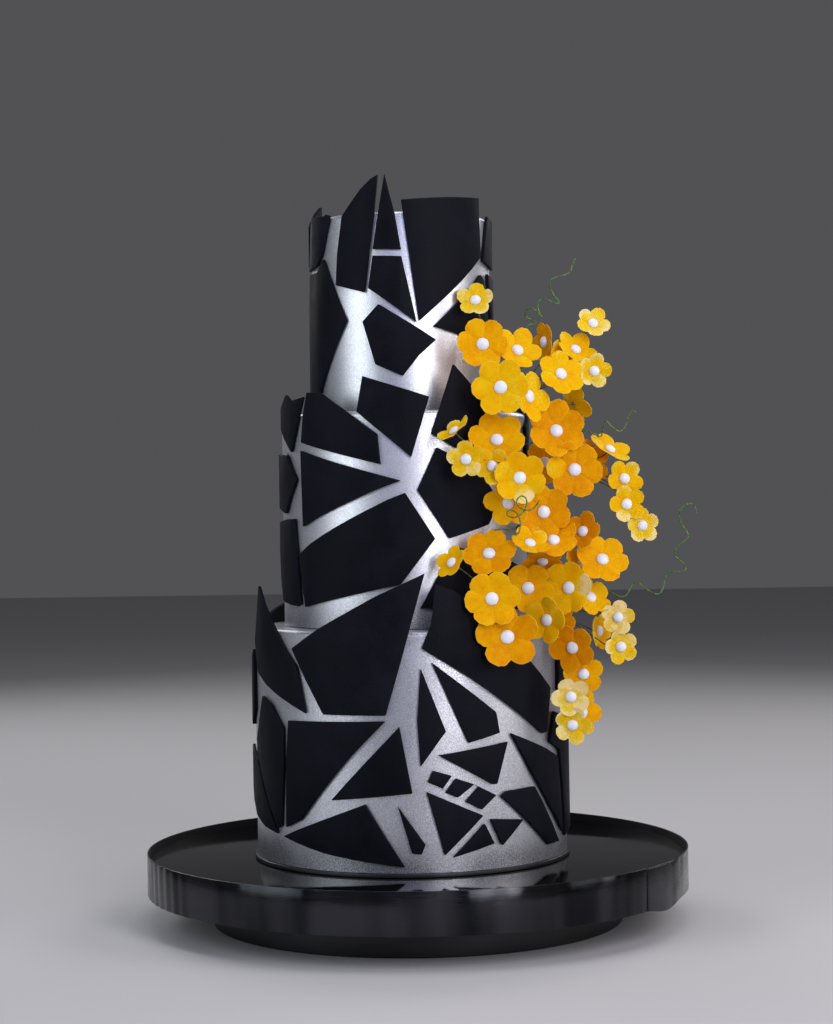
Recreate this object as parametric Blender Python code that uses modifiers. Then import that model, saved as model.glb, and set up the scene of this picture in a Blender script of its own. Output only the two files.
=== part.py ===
"""Three-tier wedding cake with black shards and wired flowers, on its low round stand.

Run with: blender --background --python part.py

Lengths are in metres and +Z is up. The origin is the centre of the stand's underside,
and the cake's front faces -Y. Places on a tier are given as the arc round it from its
front, plus to the right, and the height above the tier's foot.
"""

import math

import bmesh
import bpy
from mathutils import Matrix, Vector

# Stand: a smaller foot, a plate, and a metal strip round the plate that stands above it.
STAND_RADIUS = 0.208
STRIP_THICKNESS = 0.0015
STRIP_HEIGHT = 0.031
FOOT_RADIUS = 0.158
FOOT_HEIGHT = 0.025
PLATE_EDGE = 0.0006
PLATE_RECESS = 0.006

# Cake card and tiers. Each tier has its radius, its height and its own small shift in X.
CAKE_X = -0.004
CARD_RADIUS = 0.1215
CARD_THICKNESS = 0.003
TIERS = {
    "bottom": (0.1195, 0.1745, CAKE_X),
    "middle": (0.0940, 0.1610, CAKE_X - 0.0025),
    "top": (0.0685, 0.1495, CAKE_X - 0.0030),
}
TIER_EDGE = 0.004
TIER_EDGE_POINTS = 2
GAP = 0.0003

# Shards: thin curved plates that lie just off the tier.
SHARD_THICKNESS = 0.0024
SHARD_GAP = 0.0006
SHARD_OUTER = SHARD_GAP + SHARD_THICKNESS
SHARD_SINK = 0.001
ARC_STEP = 0.014
BACK_ARC_STEP = 0.024
CLOSEST_CORNERS = 0.0008

# Flowers, wires and tendrils.
PETAL_CUP = 0.16
NOTCH = 0.66
EYE_SHARE = 0.115
EYE_TAPER = 0.7
EYE_FOOT = 0.0006
EYE_HEIGHT = 0.0028
BACK_RADIUS = 0.0012
BACK_DEPTH = 0.0012
WIRE_RADIUS = 0.0006
TENDRIL_RADIUS = 0.0006
HUB_RADIUS = 0.0030
WIRE_POINTS = 4
STEM_LAUNCH = 0.45
STEM_ARRIVAL = 0.25
ROUND_STEPS = 48

# Shard outlines, corner by corner, as (arc, height).
TOP_SHARDS = [
    [(-0.090, 0.151), (-0.060, 0.149), (-0.071, 0.121), (-0.079, 0.113), (-0.102, 0.111)],
    [(-0.069, 0.117), (-0.044, 0.069), (-0.078, 0.014), (-0.108, 0.012), (-0.107, 0.080),
     (-0.098, 0.108), (-0.079, 0.108)],
    [(-0.016, 0.176), (-0.019, 0.150), (-0.028, 0.089), (-0.054, 0.096), (-0.052, 0.120),
     (-0.047, 0.147), (-0.038, 0.157), (-0.030, 0.166), (-0.022, 0.173)],
    [(-0.011, 0.177), (-0.004, 0.149), (0.001, 0.120), (-0.021, 0.121), (-0.016, 0.150)],
    [(-0.021, 0.116), (0.001, 0.115), (0.012, 0.066), (-0.025, 0.092)],
    [(0.001, 0.157), (0.041, 0.160), (0.072, 0.162), (0.072, 0.148), (0.074, 0.118),
     (0.014, 0.067)],
    [(-0.017, 0.080), (0.027, 0.053), (0.013, 0.041), (0.001, 0.026), (-0.020, 0.035),
     (-0.030, 0.067)],
    [(0.025, 0.063), (0.073, 0.104), (0.079, 0.100), (0.090, 0.049), (0.046, 0.058)],
    [(0.087, 0.150), (0.104, 0.148), (0.102, 0.110), (0.077, 0.115)],
    [(0.086, 0.106), (0.106, 0.102), (0.108, 0.050), (0.096, 0.062)],
]
MIDDLE_SHARDS = [
    [(-0.113, 0.176), (-0.104, 0.171), (-0.085, 0.173), (-0.104, 0.132), (-0.128, 0.150),
     (-0.128, 0.166)],
    [(-0.112, 0.130), (-0.096, 0.111), (-0.117, 0.086), (-0.150, 0.092), (-0.146, 0.132)],
    [(-0.081, 0.176), (-0.066, 0.175), (-0.044, 0.161), (-0.019, 0.143), (-0.017, 0.121),
     (-0.089, 0.139), (-0.086, 0.159)],
    [(-0.090, 0.133), (-0.002, 0.109), (-0.022, 0.102), (-0.042, 0.094), (-0.063, 0.086),
     (-0.088, 0.076)],
    [(-0.030, 0.186), (0.020, 0.170), (0.006, 0.126), (-0.035, 0.160)],
    [(0.039, 0.194), (0.054, 0.179), (0.071, 0.162), (0.085, 0.149), (0.077, 0.113),
     (0.021, 0.143)],
    [(0.010, 0.102), (0.025, 0.133), (0.060, 0.116), (0.080, 0.093), (0.069, 0.076),
     (0.034, 0.066)],
    [(0.001, 0.100), (0.023, 0.066), (-0.003, 0.033), (-0.023, 0.029), (-0.086, 0.016),
     (-0.094, 0.055), (-0.076, 0.065), (-0.042, 0.081), (-0.010, 0.096)],
    [(-0.108, 0.082), (-0.100, 0.082), (-0.096, 0.056), (-0.092, 0.018), (-0.099, 0.016),
     (-0.126, 0.019), (-0.148, 0.056), (-0.140, 0.080)],
    [(0.039, 0.060), (0.024, 0.037), (0.011, 0.015), (0.117, 0.011), (0.122, 0.040),
     (0.080, 0.052)],
]
BOTTOM_SHARDS = [
    [(-0.146, 0.207), (-0.135, 0.194), (-0.117, 0.175), (-0.103, 0.159), (-0.092, 0.148),
     (-0.083, 0.114), (-0.112, 0.125), (-0.133, 0.133), (-0.150, 0.141), (-0.158, 0.165)],
    [(0.012, 0.216), (-0.007, 0.150), (-0.018, 0.114), (-0.067, 0.114), (-0.097, 0.161),
     (-0.069, 0.177), (-0.043, 0.190), (-0.024, 0.200)],
    [(0.009, 0.162), (0.048, 0.138), (0.077, 0.119), (0.114, 0.095), (0.120, 0.096),
     (0.126, 0.128), (0.034, 0.203), (0.020, 0.208), (0.016, 0.179)],
    [(-0.140, 0.124), (-0.123, 0.117), (-0.108, 0.102), (-0.108, 0.074), (-0.112, 0.030),
     (-0.117, 0.027), (-0.129, 0.043), (-0.146, 0.067), (-0.156, 0.090)],
    [(-0.153, 0.074), (-0.136, 0.049), (-0.117, 0.023), (-0.138, 0.026), (-0.158, 0.032),
     (-0.184, 0.052), (-0.182, 0.084)],
    [(-0.102, 0.108), (-0.018, 0.110), (-0.045, 0.084), (-0.070, 0.057), (-0.089, 0.036),
     (-0.106, 0.029), (-0.105, 0.075)],
    [(-0.008, 0.106), (0.001, 0.058), (-0.061, 0.052)],
    [(-0.034, 0.050), (-0.005, 0.005), (-0.038, 0.009), (-0.067, 0.013), (-0.091, 0.018),
     (-0.110, 0.022)],
    [(-0.010, 0.049), (0.010, 0.021), (0.007, 0.014), (0.000, 0.015)],
    [(0.008, 0.148), (0.026, 0.102), (0.007, 0.077), (0.005, 0.110)],
    [(0.016, 0.152), (0.066, 0.114), (0.069, 0.099), (0.043, 0.093)],
    [(0.020, 0.085), (0.076, 0.092), (0.066, 0.062), (0.062, 0.062)],
    [(0.016, 0.074), (0.030, 0.070), (0.023, 0.061), (0.012, 0.066)],
    [(0.033, 0.068), (0.047, 0.063), (0.034, 0.054), (0.025, 0.058)],
    [(0.051, 0.061), (0.065, 0.054), (0.053, 0.044), (0.040, 0.051)],
    [(0.011, 0.059), (0.054, 0.040), (0.024, 0.013)],
    [(0.055, 0.034), (0.063, 0.019), (0.030, 0.011)],
    [(0.060, 0.037), (0.090, 0.034), (0.070, 0.017)],
    [(0.069, 0.053), (0.074, 0.056), (0.103, 0.057), (0.138, 0.012), (0.120, 0.012)],
    [(0.079, 0.098), (0.120, 0.083), (0.137, 0.076), (0.143, 0.046), (0.146, 0.018),
     (0.122, 0.041), (0.100, 0.067)],
    [(0.132, 0.110), (0.172, 0.100), (0.176, 0.018), (0.152, 0.014), (0.148, 0.048),
     (0.142, 0.080), (0.124, 0.088)],
]
SHARDS = {"bottom": BOTTOM_SHARDS, "middle": MIDDLE_SHARDS, "top": TOP_SHARDS}

# The back repeats these shards of the front, half a turn on, joined to their tier.
BACK_COPIES = {
    "bottom": [0, 1, 2, 3, 4, 5, 6, 7, 9, 11, 18],
    "middle": [0, 1, 2, 3, 4, 5, 6, 7, 9],
    "top": [1, 2, 3, 4, 5, 6, 7, 9],
}

# Shards at the two sides, between the front's and the back's, joined to their tier too.
SIDE_SHARDS = {
    "bottom": [
        [(0.140, 0.166), (0.176, 0.186), (0.200, 0.150), (0.184, 0.118), (0.142, 0.124)],
        [(0.490, 0.194), (0.536, 0.180), (0.566, 0.150), (0.545, 0.118), (0.520, 0.134),
         (0.494, 0.156)],
        [(0.572, 0.142), (0.604, 0.158), (0.606, 0.112), (0.590, 0.098), (0.560, 0.104)],
    ],
    "middle": [
        [(0.127, 0.150), (0.152, 0.162), (0.148, 0.108), (0.130, 0.100)],
    ],
    "top": [
        [(0.306, 0.166), (0.330, 0.150), (0.334, 0.116), (0.306, 0.112)],
    ],
}

# Blossoms by spray: place (right, back, up), turn and lift of the face in degrees
# (0, 0 looks to -Y, plus turns right and up), diameter, petals.
SPRAY_HUBS = {
    "spray_top_left": ((0.0563, -0.0527, 0.3920), (0.3, -0.5, 0.8)),
    "spray_top_right": ((0.0700, -0.0310, 0.3920), (0.7, -0.3, 0.6)),
    "spray_middle_left": ((0.0735, -0.0545, 0.3400), (0.6, -0.8, 0.0)),
    "spray_middle_right": ((0.0860, -0.0300, 0.3500), (0.9, -0.4, 0.1)),
    "spray_lower_left": ((0.0640, -0.0810, 0.2315), (0.2, -0.6, 0.8)),
    "spray_lower_middle": ((0.0800, -0.0460, 0.3000), (0.8, -0.6, 0.0)),
    "spray_lower_right": ((0.0925, -0.0560, 0.2322), (1.6, -0.9, 1.4)),
}
BLOSSOMS = {
    "spray_top_left": [
        ((0.049, -0.058, 0.471), -10, 25, 0.029, 5),
        ((0.053, -0.085, 0.436), 0, 5, 0.040, 6),
        ((0.079, -0.072, 0.432), 20, 30, 0.038, 5),
        ((0.065, -0.104, 0.403), -5, 0, 0.043, 6),
        ((0.086, -0.088, 0.397), 50, 10, 0.042, 5),
    ],
    "spray_top_right": [
        ((0.138, -0.040, 0.454), 15, 30, 0.028, 5),
        ((0.101, -0.050, 0.440), -65, 0, 0.032, 5),
        ((0.124, -0.045, 0.434), 30, 40, 0.034, 5),
        ((0.114, -0.048, 0.428), 20, 30, 0.028, 5),
        ((0.111, -0.072, 0.414), 20, 25, 0.037, 6),
        ((0.137, -0.058, 0.417), 10, 0, 0.027, 5),
        ((0.123, -0.035, 0.394), 120, 20, 0.036, 5),
    ],
    "spray_middle_left": [
        ((0.031, -0.111, 0.371), -60, 50, 0.028, 5),
        ((0.062, -0.092, 0.365), 0, 30, 0.044, 6),
        ((0.039, -0.108, 0.351), -10, 0, 0.029, 5),
        ((0.058, -0.102, 0.346), 0, 0, 0.028, 5),
        ((0.078, -0.104, 0.337), 0, 0, 0.040, 6),
        ((0.070, -0.092, 0.319), -20, -10, 0.036, 5),
    ],
    "spray_middle_right": [
        ((0.107, -0.072, 0.372), 5, 15, 0.045, 6),
        ((0.120, -0.075, 0.343), 5, 0, 0.044, 6),
        ((0.099, -0.058, 0.349), 0, 0, 0.034, 5),
        ((0.132, -0.050, 0.349), 20, 0, 0.036, 5),
        ((0.148, -0.055, 0.358), 45, 50, 0.035, 5),
        ((0.158, -0.062, 0.336), 10, 5, 0.029, 5),
        ((0.159, -0.066, 0.317), 10, 0, 0.029, 5),
        ((0.171, -0.060, 0.301), 15, -5, 0.027, 5),
    ],
    "spray_lower_left": [
        ((0.055, -0.100, 0.282), -5, 35, 0.041, 6),
        ((0.028, -0.112, 0.276), -50, 30, 0.028, 5),
        ((0.056, -0.118, 0.250), 0, 0, 0.042, 6),
        ((0.084, -0.080, 0.256), 0, 0, 0.040, 5),
        ((0.067, -0.112, 0.222), 0, 5, 0.048, 5),
    ],
    "spray_lower_middle": [
        ((0.096, -0.085, 0.312), 0, 0, 0.042, 6),
        ((0.085, -0.098, 0.289), 20, 50, 0.031, 5),
        ((0.103, -0.088, 0.291), 0, 35, 0.037, 6),
        ((0.095, -0.078, 0.276), 0, -50, 0.034, 5),
        ((0.126, -0.072, 0.297), -30, 20, 0.031, 5),
        ((0.140, -0.070, 0.276), 10, 30, 0.041, 6),
        ((0.126, -0.062, 0.274), 10, 20, 0.028, 5),
    ],
    "spray_lower_right": [
        ((0.114, -0.085, 0.256), -30, 0, 0.042, 6),
        ((0.097, -0.096, 0.233), -35, 0, 0.036, 5),
        ((0.107, -0.080, 0.233), -20, 0, 0.028, 5),
        ((0.131, -0.068, 0.248), 30, 30, 0.034, 5),
        ((0.151, -0.070, 0.233), 0, 0, 0.027, 5),
        ((0.138, -0.051, 0.222), 55, 0, 0.030, 5),
        ((0.116, -0.085, 0.212), -25, -10, 0.038, 5),
        ((0.153, -0.068, 0.211), 10, 0, 0.027, 5),
        ((0.124, -0.080, 0.192), 0, 0, 0.032, 5),
        ((0.114, -0.088, 0.176), 0, 0, 0.030, 5),
        ((0.124, -0.062, 0.162), 40, 0, 0.034, 5),
        ((0.115, -0.086, 0.155), 0, -5, 0.029, 5),
    ],
}

# Tendrils: the points that the wire's centre follows, (right, back, up), from its root.
TENDRILS = {
    "tendril_top": [
        (0.0640, -0.0360, 0.3904), (0.068, -0.042, 0.408), (0.074, -0.050, 0.430),
        (0.084, -0.054, 0.447), (0.089, -0.050, 0.453), (0.095, -0.048, 0.454),
        (0.092, -0.044, 0.457), (0.086, -0.046, 0.460), (0.089, -0.050, 0.466),
        (0.095, -0.053, 0.463), (0.099, -0.050, 0.458), (0.096, -0.046, 0.466),
        (0.098, -0.046, 0.472), (0.103, -0.049, 0.472), (0.110, -0.052, 0.468),
        (0.112, -0.050, 0.470), (0.108, -0.046, 0.476), (0.105, -0.048, 0.483),
        (0.108, -0.051, 0.488), (0.120, -0.050, 0.491), (0.122, -0.048, 0.496),
        (0.125, -0.048, 0.503),
    ],
    "tendril_middle": [
        (0.0805, -0.0390, 0.362), (0.124, -0.060, 0.372), (0.133, -0.062, 0.371),
        (0.138, -0.060, 0.369), (0.142, -0.057, 0.368), (0.143, -0.058, 0.375),
        (0.145, -0.061, 0.380), (0.148, -0.063, 0.376), (0.155, -0.060, 0.371),
        (0.160, -0.057, 0.375), (0.162, -0.058, 0.382), (0.165, -0.060, 0.387),
        (0.168, -0.060, 0.385),
    ],
    "tendril_lower": [
        (0.0950, -0.0440, 0.2295), (0.133, -0.055, 0.253), (0.146, -0.060, 0.252),
        (0.153, -0.062, 0.248), (0.159, -0.060, 0.249), (0.162, -0.057, 0.255),
        (0.166, -0.058, 0.259), (0.171, -0.061, 0.255), (0.181, -0.062, 0.249),
        (0.186, -0.059, 0.253), (0.188, -0.057, 0.261), (0.191, -0.059, 0.266),
        (0.197, -0.062, 0.266), (0.203, -0.061, 0.267), (0.203, -0.058, 0.271),
        (0.197, -0.057, 0.276), (0.195, -0.059, 0.281), (0.198, -0.062, 0.286),
        (0.206, -0.061, 0.292), (0.203, -0.057, 0.298), (0.199, -0.058, 0.306),
        (0.200, -0.061, 0.313), (0.206, -0.061, 0.317), (0.211, -0.058, 0.315),
        (0.212, -0.058, 0.309),
    ],
    "tendril_front": [
        (0.0585, -0.0712, 0.300), (0.060, -0.090, 0.299), (0.064, -0.112, 0.300),
        (0.070, -0.124, 0.299), (0.075, -0.127, 0.296), (0.077, -0.126, 0.304),
        (0.075, -0.123, 0.311), (0.070, -0.122, 0.314), (0.067, -0.124, 0.311),
        (0.071, -0.127, 0.308), (0.077, -0.127, 0.310), (0.081, -0.124, 0.315),
        (0.082, -0.122, 0.321), (0.078, -0.124, 0.324), (0.074, -0.127, 0.320),
        (0.077, -0.128, 0.315), (0.083, -0.126, 0.313), (0.088, -0.124, 0.316),
        (0.091, -0.124, 0.321),
    ],
}
TENDRIL_POINTS_PER_STEP = 2


def clear_scene():
    """Remove every object of the scene."""
    for obj in list(bpy.data.objects):
        bpy.data.objects.remove(obj, do_unlink=True)


def make_material(name, color, roughness, metallic=0.0):
    """A Principled material with a plain colour."""
    material = bpy.data.materials.new(name)
    material.use_nodes = True
    shader = material.node_tree.nodes["Principled BSDF"]
    shader.inputs["Base Color"].default_value = (*color, 1.0)
    shader.inputs["Roughness"].default_value = roughness
    shader.inputs["Metallic"].default_value = metallic
    material.diffuse_color = (*color, 1.0)
    return material


def add_object(name, mesh, collection, material=None):
    """Link a new object that shows the mesh."""
    obj = bpy.data.objects.new(name, mesh)
    collection.objects.link(obj)
    if material is not None:
        mesh.materials.append(material)
    return obj


def mesh_from(bm, name):
    """Turn a bmesh into a mesh and free it."""
    mesh = bpy.data.meshes.new(name)
    bm.to_mesh(mesh)
    bm.free()
    return mesh


def shade_round(obj, angle=35.0):
    """Shade smooth, with edges sharper than the angle kept."""
    for polygon in obj.data.polygons:
        polygon.use_smooth = True
    obj.data.set_sharp_from_angle(angle=math.radians(angle))


def turned(name, profile, collection, material):
    """Turn a profile of (radius, height) points, listed top to bottom, about the Z axis."""
    bm = bmesh.new()
    verts = [bm.verts.new((radius, 0.0, height)) for radius, height in profile]
    for first, second in zip(verts, verts[1:]):
        bm.edges.new((first, second))
    obj = add_object(name, mesh_from(bm, name), collection, material)
    screw = obj.modifiers.new("Turn", "SCREW")
    screw.axis = "Z"
    screw.steps = ROUND_STEPS
    screw.render_steps = ROUND_STEPS
    screw.use_merge_vertices = True
    screw.merge_threshold = 0.00001
    return obj


def evaluated_mesh(obj):
    """A new mesh of the object with its modifiers, in its own space."""
    bpy.context.view_layer.update()
    graph = bpy.context.evaluated_depsgraph_get()
    return bpy.data.meshes.new_from_object(obj.evaluated_get(graph))


def drop_scraps(mesh):
    """Keep only the largest set of faces that meet edge to edge."""
    bm = bmesh.new()
    bm.from_mesh(mesh)
    waiting = set(bm.faces)
    parts = []
    while waiting:
        part = [waiting.pop()]
        for face in part:
            for edge in face.edges:
                for other in edge.link_faces:
                    if other in waiting and len(edge.link_faces) == 2:
                        waiting.remove(other)
                        part.append(other)
        parts.append(part)
    parts.sort(key=len)
    scraps = [face for part in parts[:-1] for face in part]
    bmesh.ops.delete(bm, geom=scraps, context="FACES")
    bm.to_mesh(mesh)
    bm.free()


def join_by_union(base, others, solver):
    """Fuse the others with the base by one Boolean union, and remove them."""
    pieces = bpy.data.collections.new(base.name + "_pieces")
    bpy.context.scene.collection.children.link(pieces)
    for other in others:
        pieces.objects.link(other)
    union = base.modifiers.new("Union", "BOOLEAN")
    union.operation = "UNION"
    union.operand_type = "COLLECTION"
    union.collection = pieces
    union.solver = solver
    mesh = evaluated_mesh(base)
    base.modifiers.clear()
    drop_scraps(mesh)
    base.data = mesh
    for other in others:
        bpy.data.objects.remove(other, do_unlink=True)
    bpy.data.collections.remove(pieces)


def stand(collection, foot_material, plate_material, strip_material):
    """Foot, plate and the strip round it. Returns the height of the plate's top."""
    foot_profile = [
        (0.0, FOOT_HEIGHT - GAP),
        (FOOT_RADIUS, FOOT_HEIGHT - GAP),
        (FOOT_RADIUS, 0.0),
        (0.0, 0.0),
    ]
    shade_round(turned("stand_foot", foot_profile, collection, foot_material))

    plate_top = FOOT_HEIGHT + STRIP_HEIGHT - PLATE_RECESS
    plate_radius = STAND_RADIUS - STRIP_THICKNESS - GAP
    plate_profile = [
        (0.0, plate_top),
        (plate_radius - PLATE_EDGE, plate_top),
        (plate_radius, plate_top - PLATE_EDGE),
        (plate_radius, FOOT_HEIGHT),
        (0.0, FOOT_HEIGHT),
    ]
    shade_round(turned("stand_plate", plate_profile, collection, plate_material))

    inner = STAND_RADIUS - STRIP_THICKNESS
    rim_top = FOOT_HEIGHT + STRIP_HEIGHT
    strip_profile = [
        (inner, rim_top),
        (STAND_RADIUS, rim_top),
        (STAND_RADIUS, FOOT_HEIGHT),
        (inner, FOOT_HEIGHT),
        (inner, rim_top),
    ]
    shade_round(turned("stand_strip", strip_profile, collection, strip_material))
    return plate_top


def cake_card(collection, material, bottom):
    """Thin round card under the bottom tier. Returns the height of its top."""
    top = bottom + CARD_THICKNESS
    profile = [(0.0, top), (CARD_RADIUS, top), (CARD_RADIUS, bottom + GAP), (0.0, bottom + GAP)]
    card = turned("cake_card", profile, collection, material)
    card.location.x = CAKE_X
    shade_round(card)
    return top


def tier_profile(radius, height):
    """Profile of a tier with a rounded top edge."""
    points = [(0.0, height)]
    for index in range(TIER_EDGE_POINTS + 1):
        angle = math.pi / 2 * index / TIER_EDGE_POINTS
        points.append(
            (
                radius - TIER_EDGE * (1 - math.sin(angle)),
                height - TIER_EDGE * (1 - math.cos(angle)),
            )
        )
    points.append((radius, 0.0))
    points.append((0.0, 0.0))
    return points


def curved_plate(name, outline, inner, thickness, arc_step, collection, material=None):
    """A plate of the outline, bent round the Z axis at the inner radius."""
    outer = inner + thickness
    bm = bmesh.new()
    face = bm.faces.new([bm.verts.new((arc, 0.0, height)) for arc, height in outline])
    face.normal_update()
    if face.normal.y > 0.0:
        bmesh.ops.reverse_faces(bm, faces=[face])
    left = min(arc for arc, _ in outline)
    right = max(arc for arc, _ in outline)
    cuts = int((right - left) / arc_step)
    for index in range(cuts):
        place = left + (right - left) * (index + 1) / (cuts + 1)
        bmesh.ops.bisect_plane(
            bm,
            geom=list(bm.verts) + list(bm.edges) + list(bm.faces),
            plane_co=(place, 0.0, 0.0),
            plane_no=(1.0, 0.0, 0.0),
        )
    bmesh.ops.remove_doubles(bm, verts=bm.verts, dist=CLOSEST_CORNERS)
    bmesh.ops.triangulate(bm, faces=list(bm.faces))
    for vert in bm.verts:
        angle = vert.co.x / outer
        vert.co = (inner * math.sin(angle), -inner * math.cos(angle), vert.co.z)
    obj = add_object(name, mesh_from(bm, name), collection, material)
    solid = obj.modifiers.new("Thickness", "SOLIDIFY")
    solid.thickness = thickness
    solid.offset = 1.0
    return obj


def cake_tiers(collection, helpers, silver, black, bottom):
    """The three tiers with their shards."""
    floor = bottom
    for tier, (radius, height, shift) in TIERS.items():
        body = turned(tier + "_tier", tier_profile(radius, height - GAP), collection, silver)
        body.location = (shift, 0.0, floor + GAP)
        half_turn = math.pi * (radius + SHARD_OUTER)
        joined = list(SIDE_SHARDS[tier])
        for index in BACK_COPIES[tier]:
            joined.append([(arc + half_turn, up) for arc, up in SHARDS[tier][index]])
        plates = []
        for outline in joined:
            plate = curved_plate(
                "back_plate",
                outline,
                radius - SHARD_SINK,
                SHARD_OUTER + SHARD_SINK,
                BACK_ARC_STEP,
                helpers,
            )
            plate.location = (shift, 0.0, floor)
            plates.append(plate)
        join_by_union(body, plates, "EXACT")
        shade_round(body)

        for index, outline in enumerate(SHARDS[tier]):
            name = f"{tier}_shard_{index + 1:02d}"
            plate = curved_plate(
                name, outline, radius + SHARD_GAP, SHARD_THICKNESS, ARC_STEP, collection, black
            )
            plate.location = (shift, 0.0, floor)
        floor += height


def facing(turn, lift):
    """Unit vector of a blossom's face."""
    turn = math.radians(turn)
    lift = math.radians(lift)
    return Vector(
        (
            math.sin(turn) * math.cos(lift),
            -math.cos(turn) * math.cos(lift),
            math.sin(lift),
        )
    )


def around(radius, angle):
    """Point of a circle in the XY plane."""
    return radius * math.cos(angle), radius * math.sin(angle)


def ring(bm, radius, height, petals):
    """One vertex for each petal, in a circle."""
    step = 2 * math.pi / petals
    return [bm.verts.new((*around(radius, step * index), height)) for index in range(petals)]


def petal_rim(bm, radius, petals):
    """Outline of the petals: a notch and two shoulders for each, the shoulders lifted."""
    step = 2 * math.pi / petals
    rim = []
    for index in range(petals):
        for share, part in ((NOTCH, 0.0), (1.0, 1 / 3), (1.0, 2 / 3)):
            place = around(radius * share, step * (index + part))
            rim.append(bm.verts.new((*place, radius * PETAL_CUP * share)))
    return rim


def petal_faces(bm, middle, rim):
    """Faces between a ring of one vertex a petal and the outline of the petals."""
    count = len(middle)
    for index in range(count):
        here = middle[index]
        there = middle[(index + 1) % count]
        notch, first, second = rim[3 * index : 3 * index + 3]
        last = rim[(3 * index + 3) % len(rim)]
        bm.faces.new((here, notch, first))
        bm.faces.new((here, first, second, there))
        bm.faces.new((there, second, last))


def blossom(name, place, direction, diameter, petals, collection):
    """Cupped petals that thin towards their rim, with a low round eye in the middle."""
    bm = bmesh.new()
    eye_radius = diameter * EYE_SHARE
    rim = petal_rim(bm, diameter / 2, petals)
    eye_foot = ring(bm, eye_radius, EYE_FOOT, petals)
    eye_top = ring(bm, eye_radius * EYE_TAPER, EYE_FOOT + EYE_HEIGHT, petals)
    back = ring(bm, BACK_RADIUS, -BACK_DEPTH, petals)
    petal_faces(bm, eye_foot, rim)
    petal_faces(bm, back, rim)
    bmesh.ops.bridge_loops(bm, edges=loop_edges(bm, eye_foot) + loop_edges(bm, eye_top))
    bm.faces.new(eye_top)
    bm.faces.new(back)
    bmesh.ops.recalc_face_normals(bm, faces=list(bm.faces))
    bmesh.ops.triangulate(bm, faces=list(bm.faces))
    obj = add_object(name, mesh_from(bm, name), collection)
    turn = direction.to_track_quat("Z", "Y").to_matrix().to_4x4()
    obj.matrix_world = Matrix.Translation(place) @ turn
    return obj


def loop_edges(bm, verts):
    """Edges of the closed loop through the vertices, made where they are missing."""
    edges = []
    for first, second in zip(verts, verts[1:] + verts[:1]):
        edges.append(bm.edges.get((first, second)) or bm.edges.new((first, second)))
    return edges


def smooth_route(points, per_step):
    """Points of a smooth curve through the given points."""
    ends = [points[0] * 2 - points[1]] + points + [points[-1] * 2 - points[-2]]
    route = []
    for before, start, end, after in zip(ends, ends[1:], ends[2:], ends[3:]):
        for index in range(per_step):
            t = index / per_step
            route.append(
                0.5
                * (
                    2 * start
                    + (end - before) * t
                    + (2 * before - 5 * start + 4 * end - after) * t**2
                    + (3 * start - before - 3 * end + after) * t**3
                )
            )
    route.append(points[-1])
    return route


def wire(name, points, radius, collection, material=None):
    """A round wire along the points, as a closed mesh."""
    curve = bpy.data.curves.new(name, "CURVE")
    curve.dimensions = "3D"
    curve.bevel_depth = radius
    curve.bevel_resolution = 0
    curve.use_fill_caps = True
    spline = curve.splines.new("POLY")
    spline.points.add(len(points) - 1)
    for point, place in zip(spline.points, points):
        point.co = (*place, 1.0)
    guide = bpy.data.objects.new(name + "_guide", curve)
    bpy.context.scene.collection.objects.link(guide)
    mesh = evaluated_mesh(guide)
    bpy.data.objects.remove(guide, do_unlink=True)
    bpy.data.curves.remove(curve)
    bm = bmesh.new()
    bm.from_mesh(mesh)
    bmesh.ops.remove_doubles(bm, verts=bm.verts, dist=0.00001)
    bm.to_mesh(mesh)
    bm.free()
    mesh.name = name
    return add_object(name, mesh, collection, material)


def stem_points(hub, launch, place, direction):
    """A bent stem from the hub to the back of a blossom."""
    reach = (place - hub).length
    start = (launch + (place - hub).normalized()).normalized()
    start_pull = hub + start * reach * STEM_LAUNCH
    end_pull = place - direction * reach * STEM_ARRIVAL
    points = []
    for index in range(WIRE_POINTS):
        t = index / (WIRE_POINTS - 1)
        points.append(
            hub * (1 - t) ** 3
            + start_pull * 3 * t * (1 - t) ** 2
            + end_pull * 3 * t**2 * (1 - t)
            + place * t**3
        )
    return points


def sprays(collection, helpers, material):
    """Each spray's blossoms and stems, fused at their hub."""
    for name, blossoms in BLOSSOMS.items():
        hub, launch = (Vector(value) for value in SPRAY_HUBS[name])
        bm = bmesh.new()
        bmesh.ops.create_icosphere(bm, subdivisions=1, radius=HUB_RADIUS)
        bmesh.ops.translate(bm, vec=hub, verts=bm.verts)
        knot = add_object(name, mesh_from(bm, name), collection, material)
        pieces = []
        for index, (place, turn, lift, diameter, petals) in enumerate(blossoms):
            part_name = f"{name}_{index}"
            place = Vector(place)
            direction = facing(turn, lift)
            pieces.append(blossom(part_name, place, direction, diameter, petals, helpers))
            stem = stem_points(hub, launch, place, direction)
            pieces.append(wire(part_name + "_stem", stem, WIRE_RADIUS, helpers))
        join_by_union(knot, pieces, "MANIFOLD")


def tendrils(collection, material):
    """Curly wires that stand out of the flowers."""
    for name, points in TENDRILS.items():
        route = smooth_route([Vector(point) for point in points], TENDRIL_POINTS_PER_STEP)
        wire(name, route, TENDRIL_RADIUS, collection, material)


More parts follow.
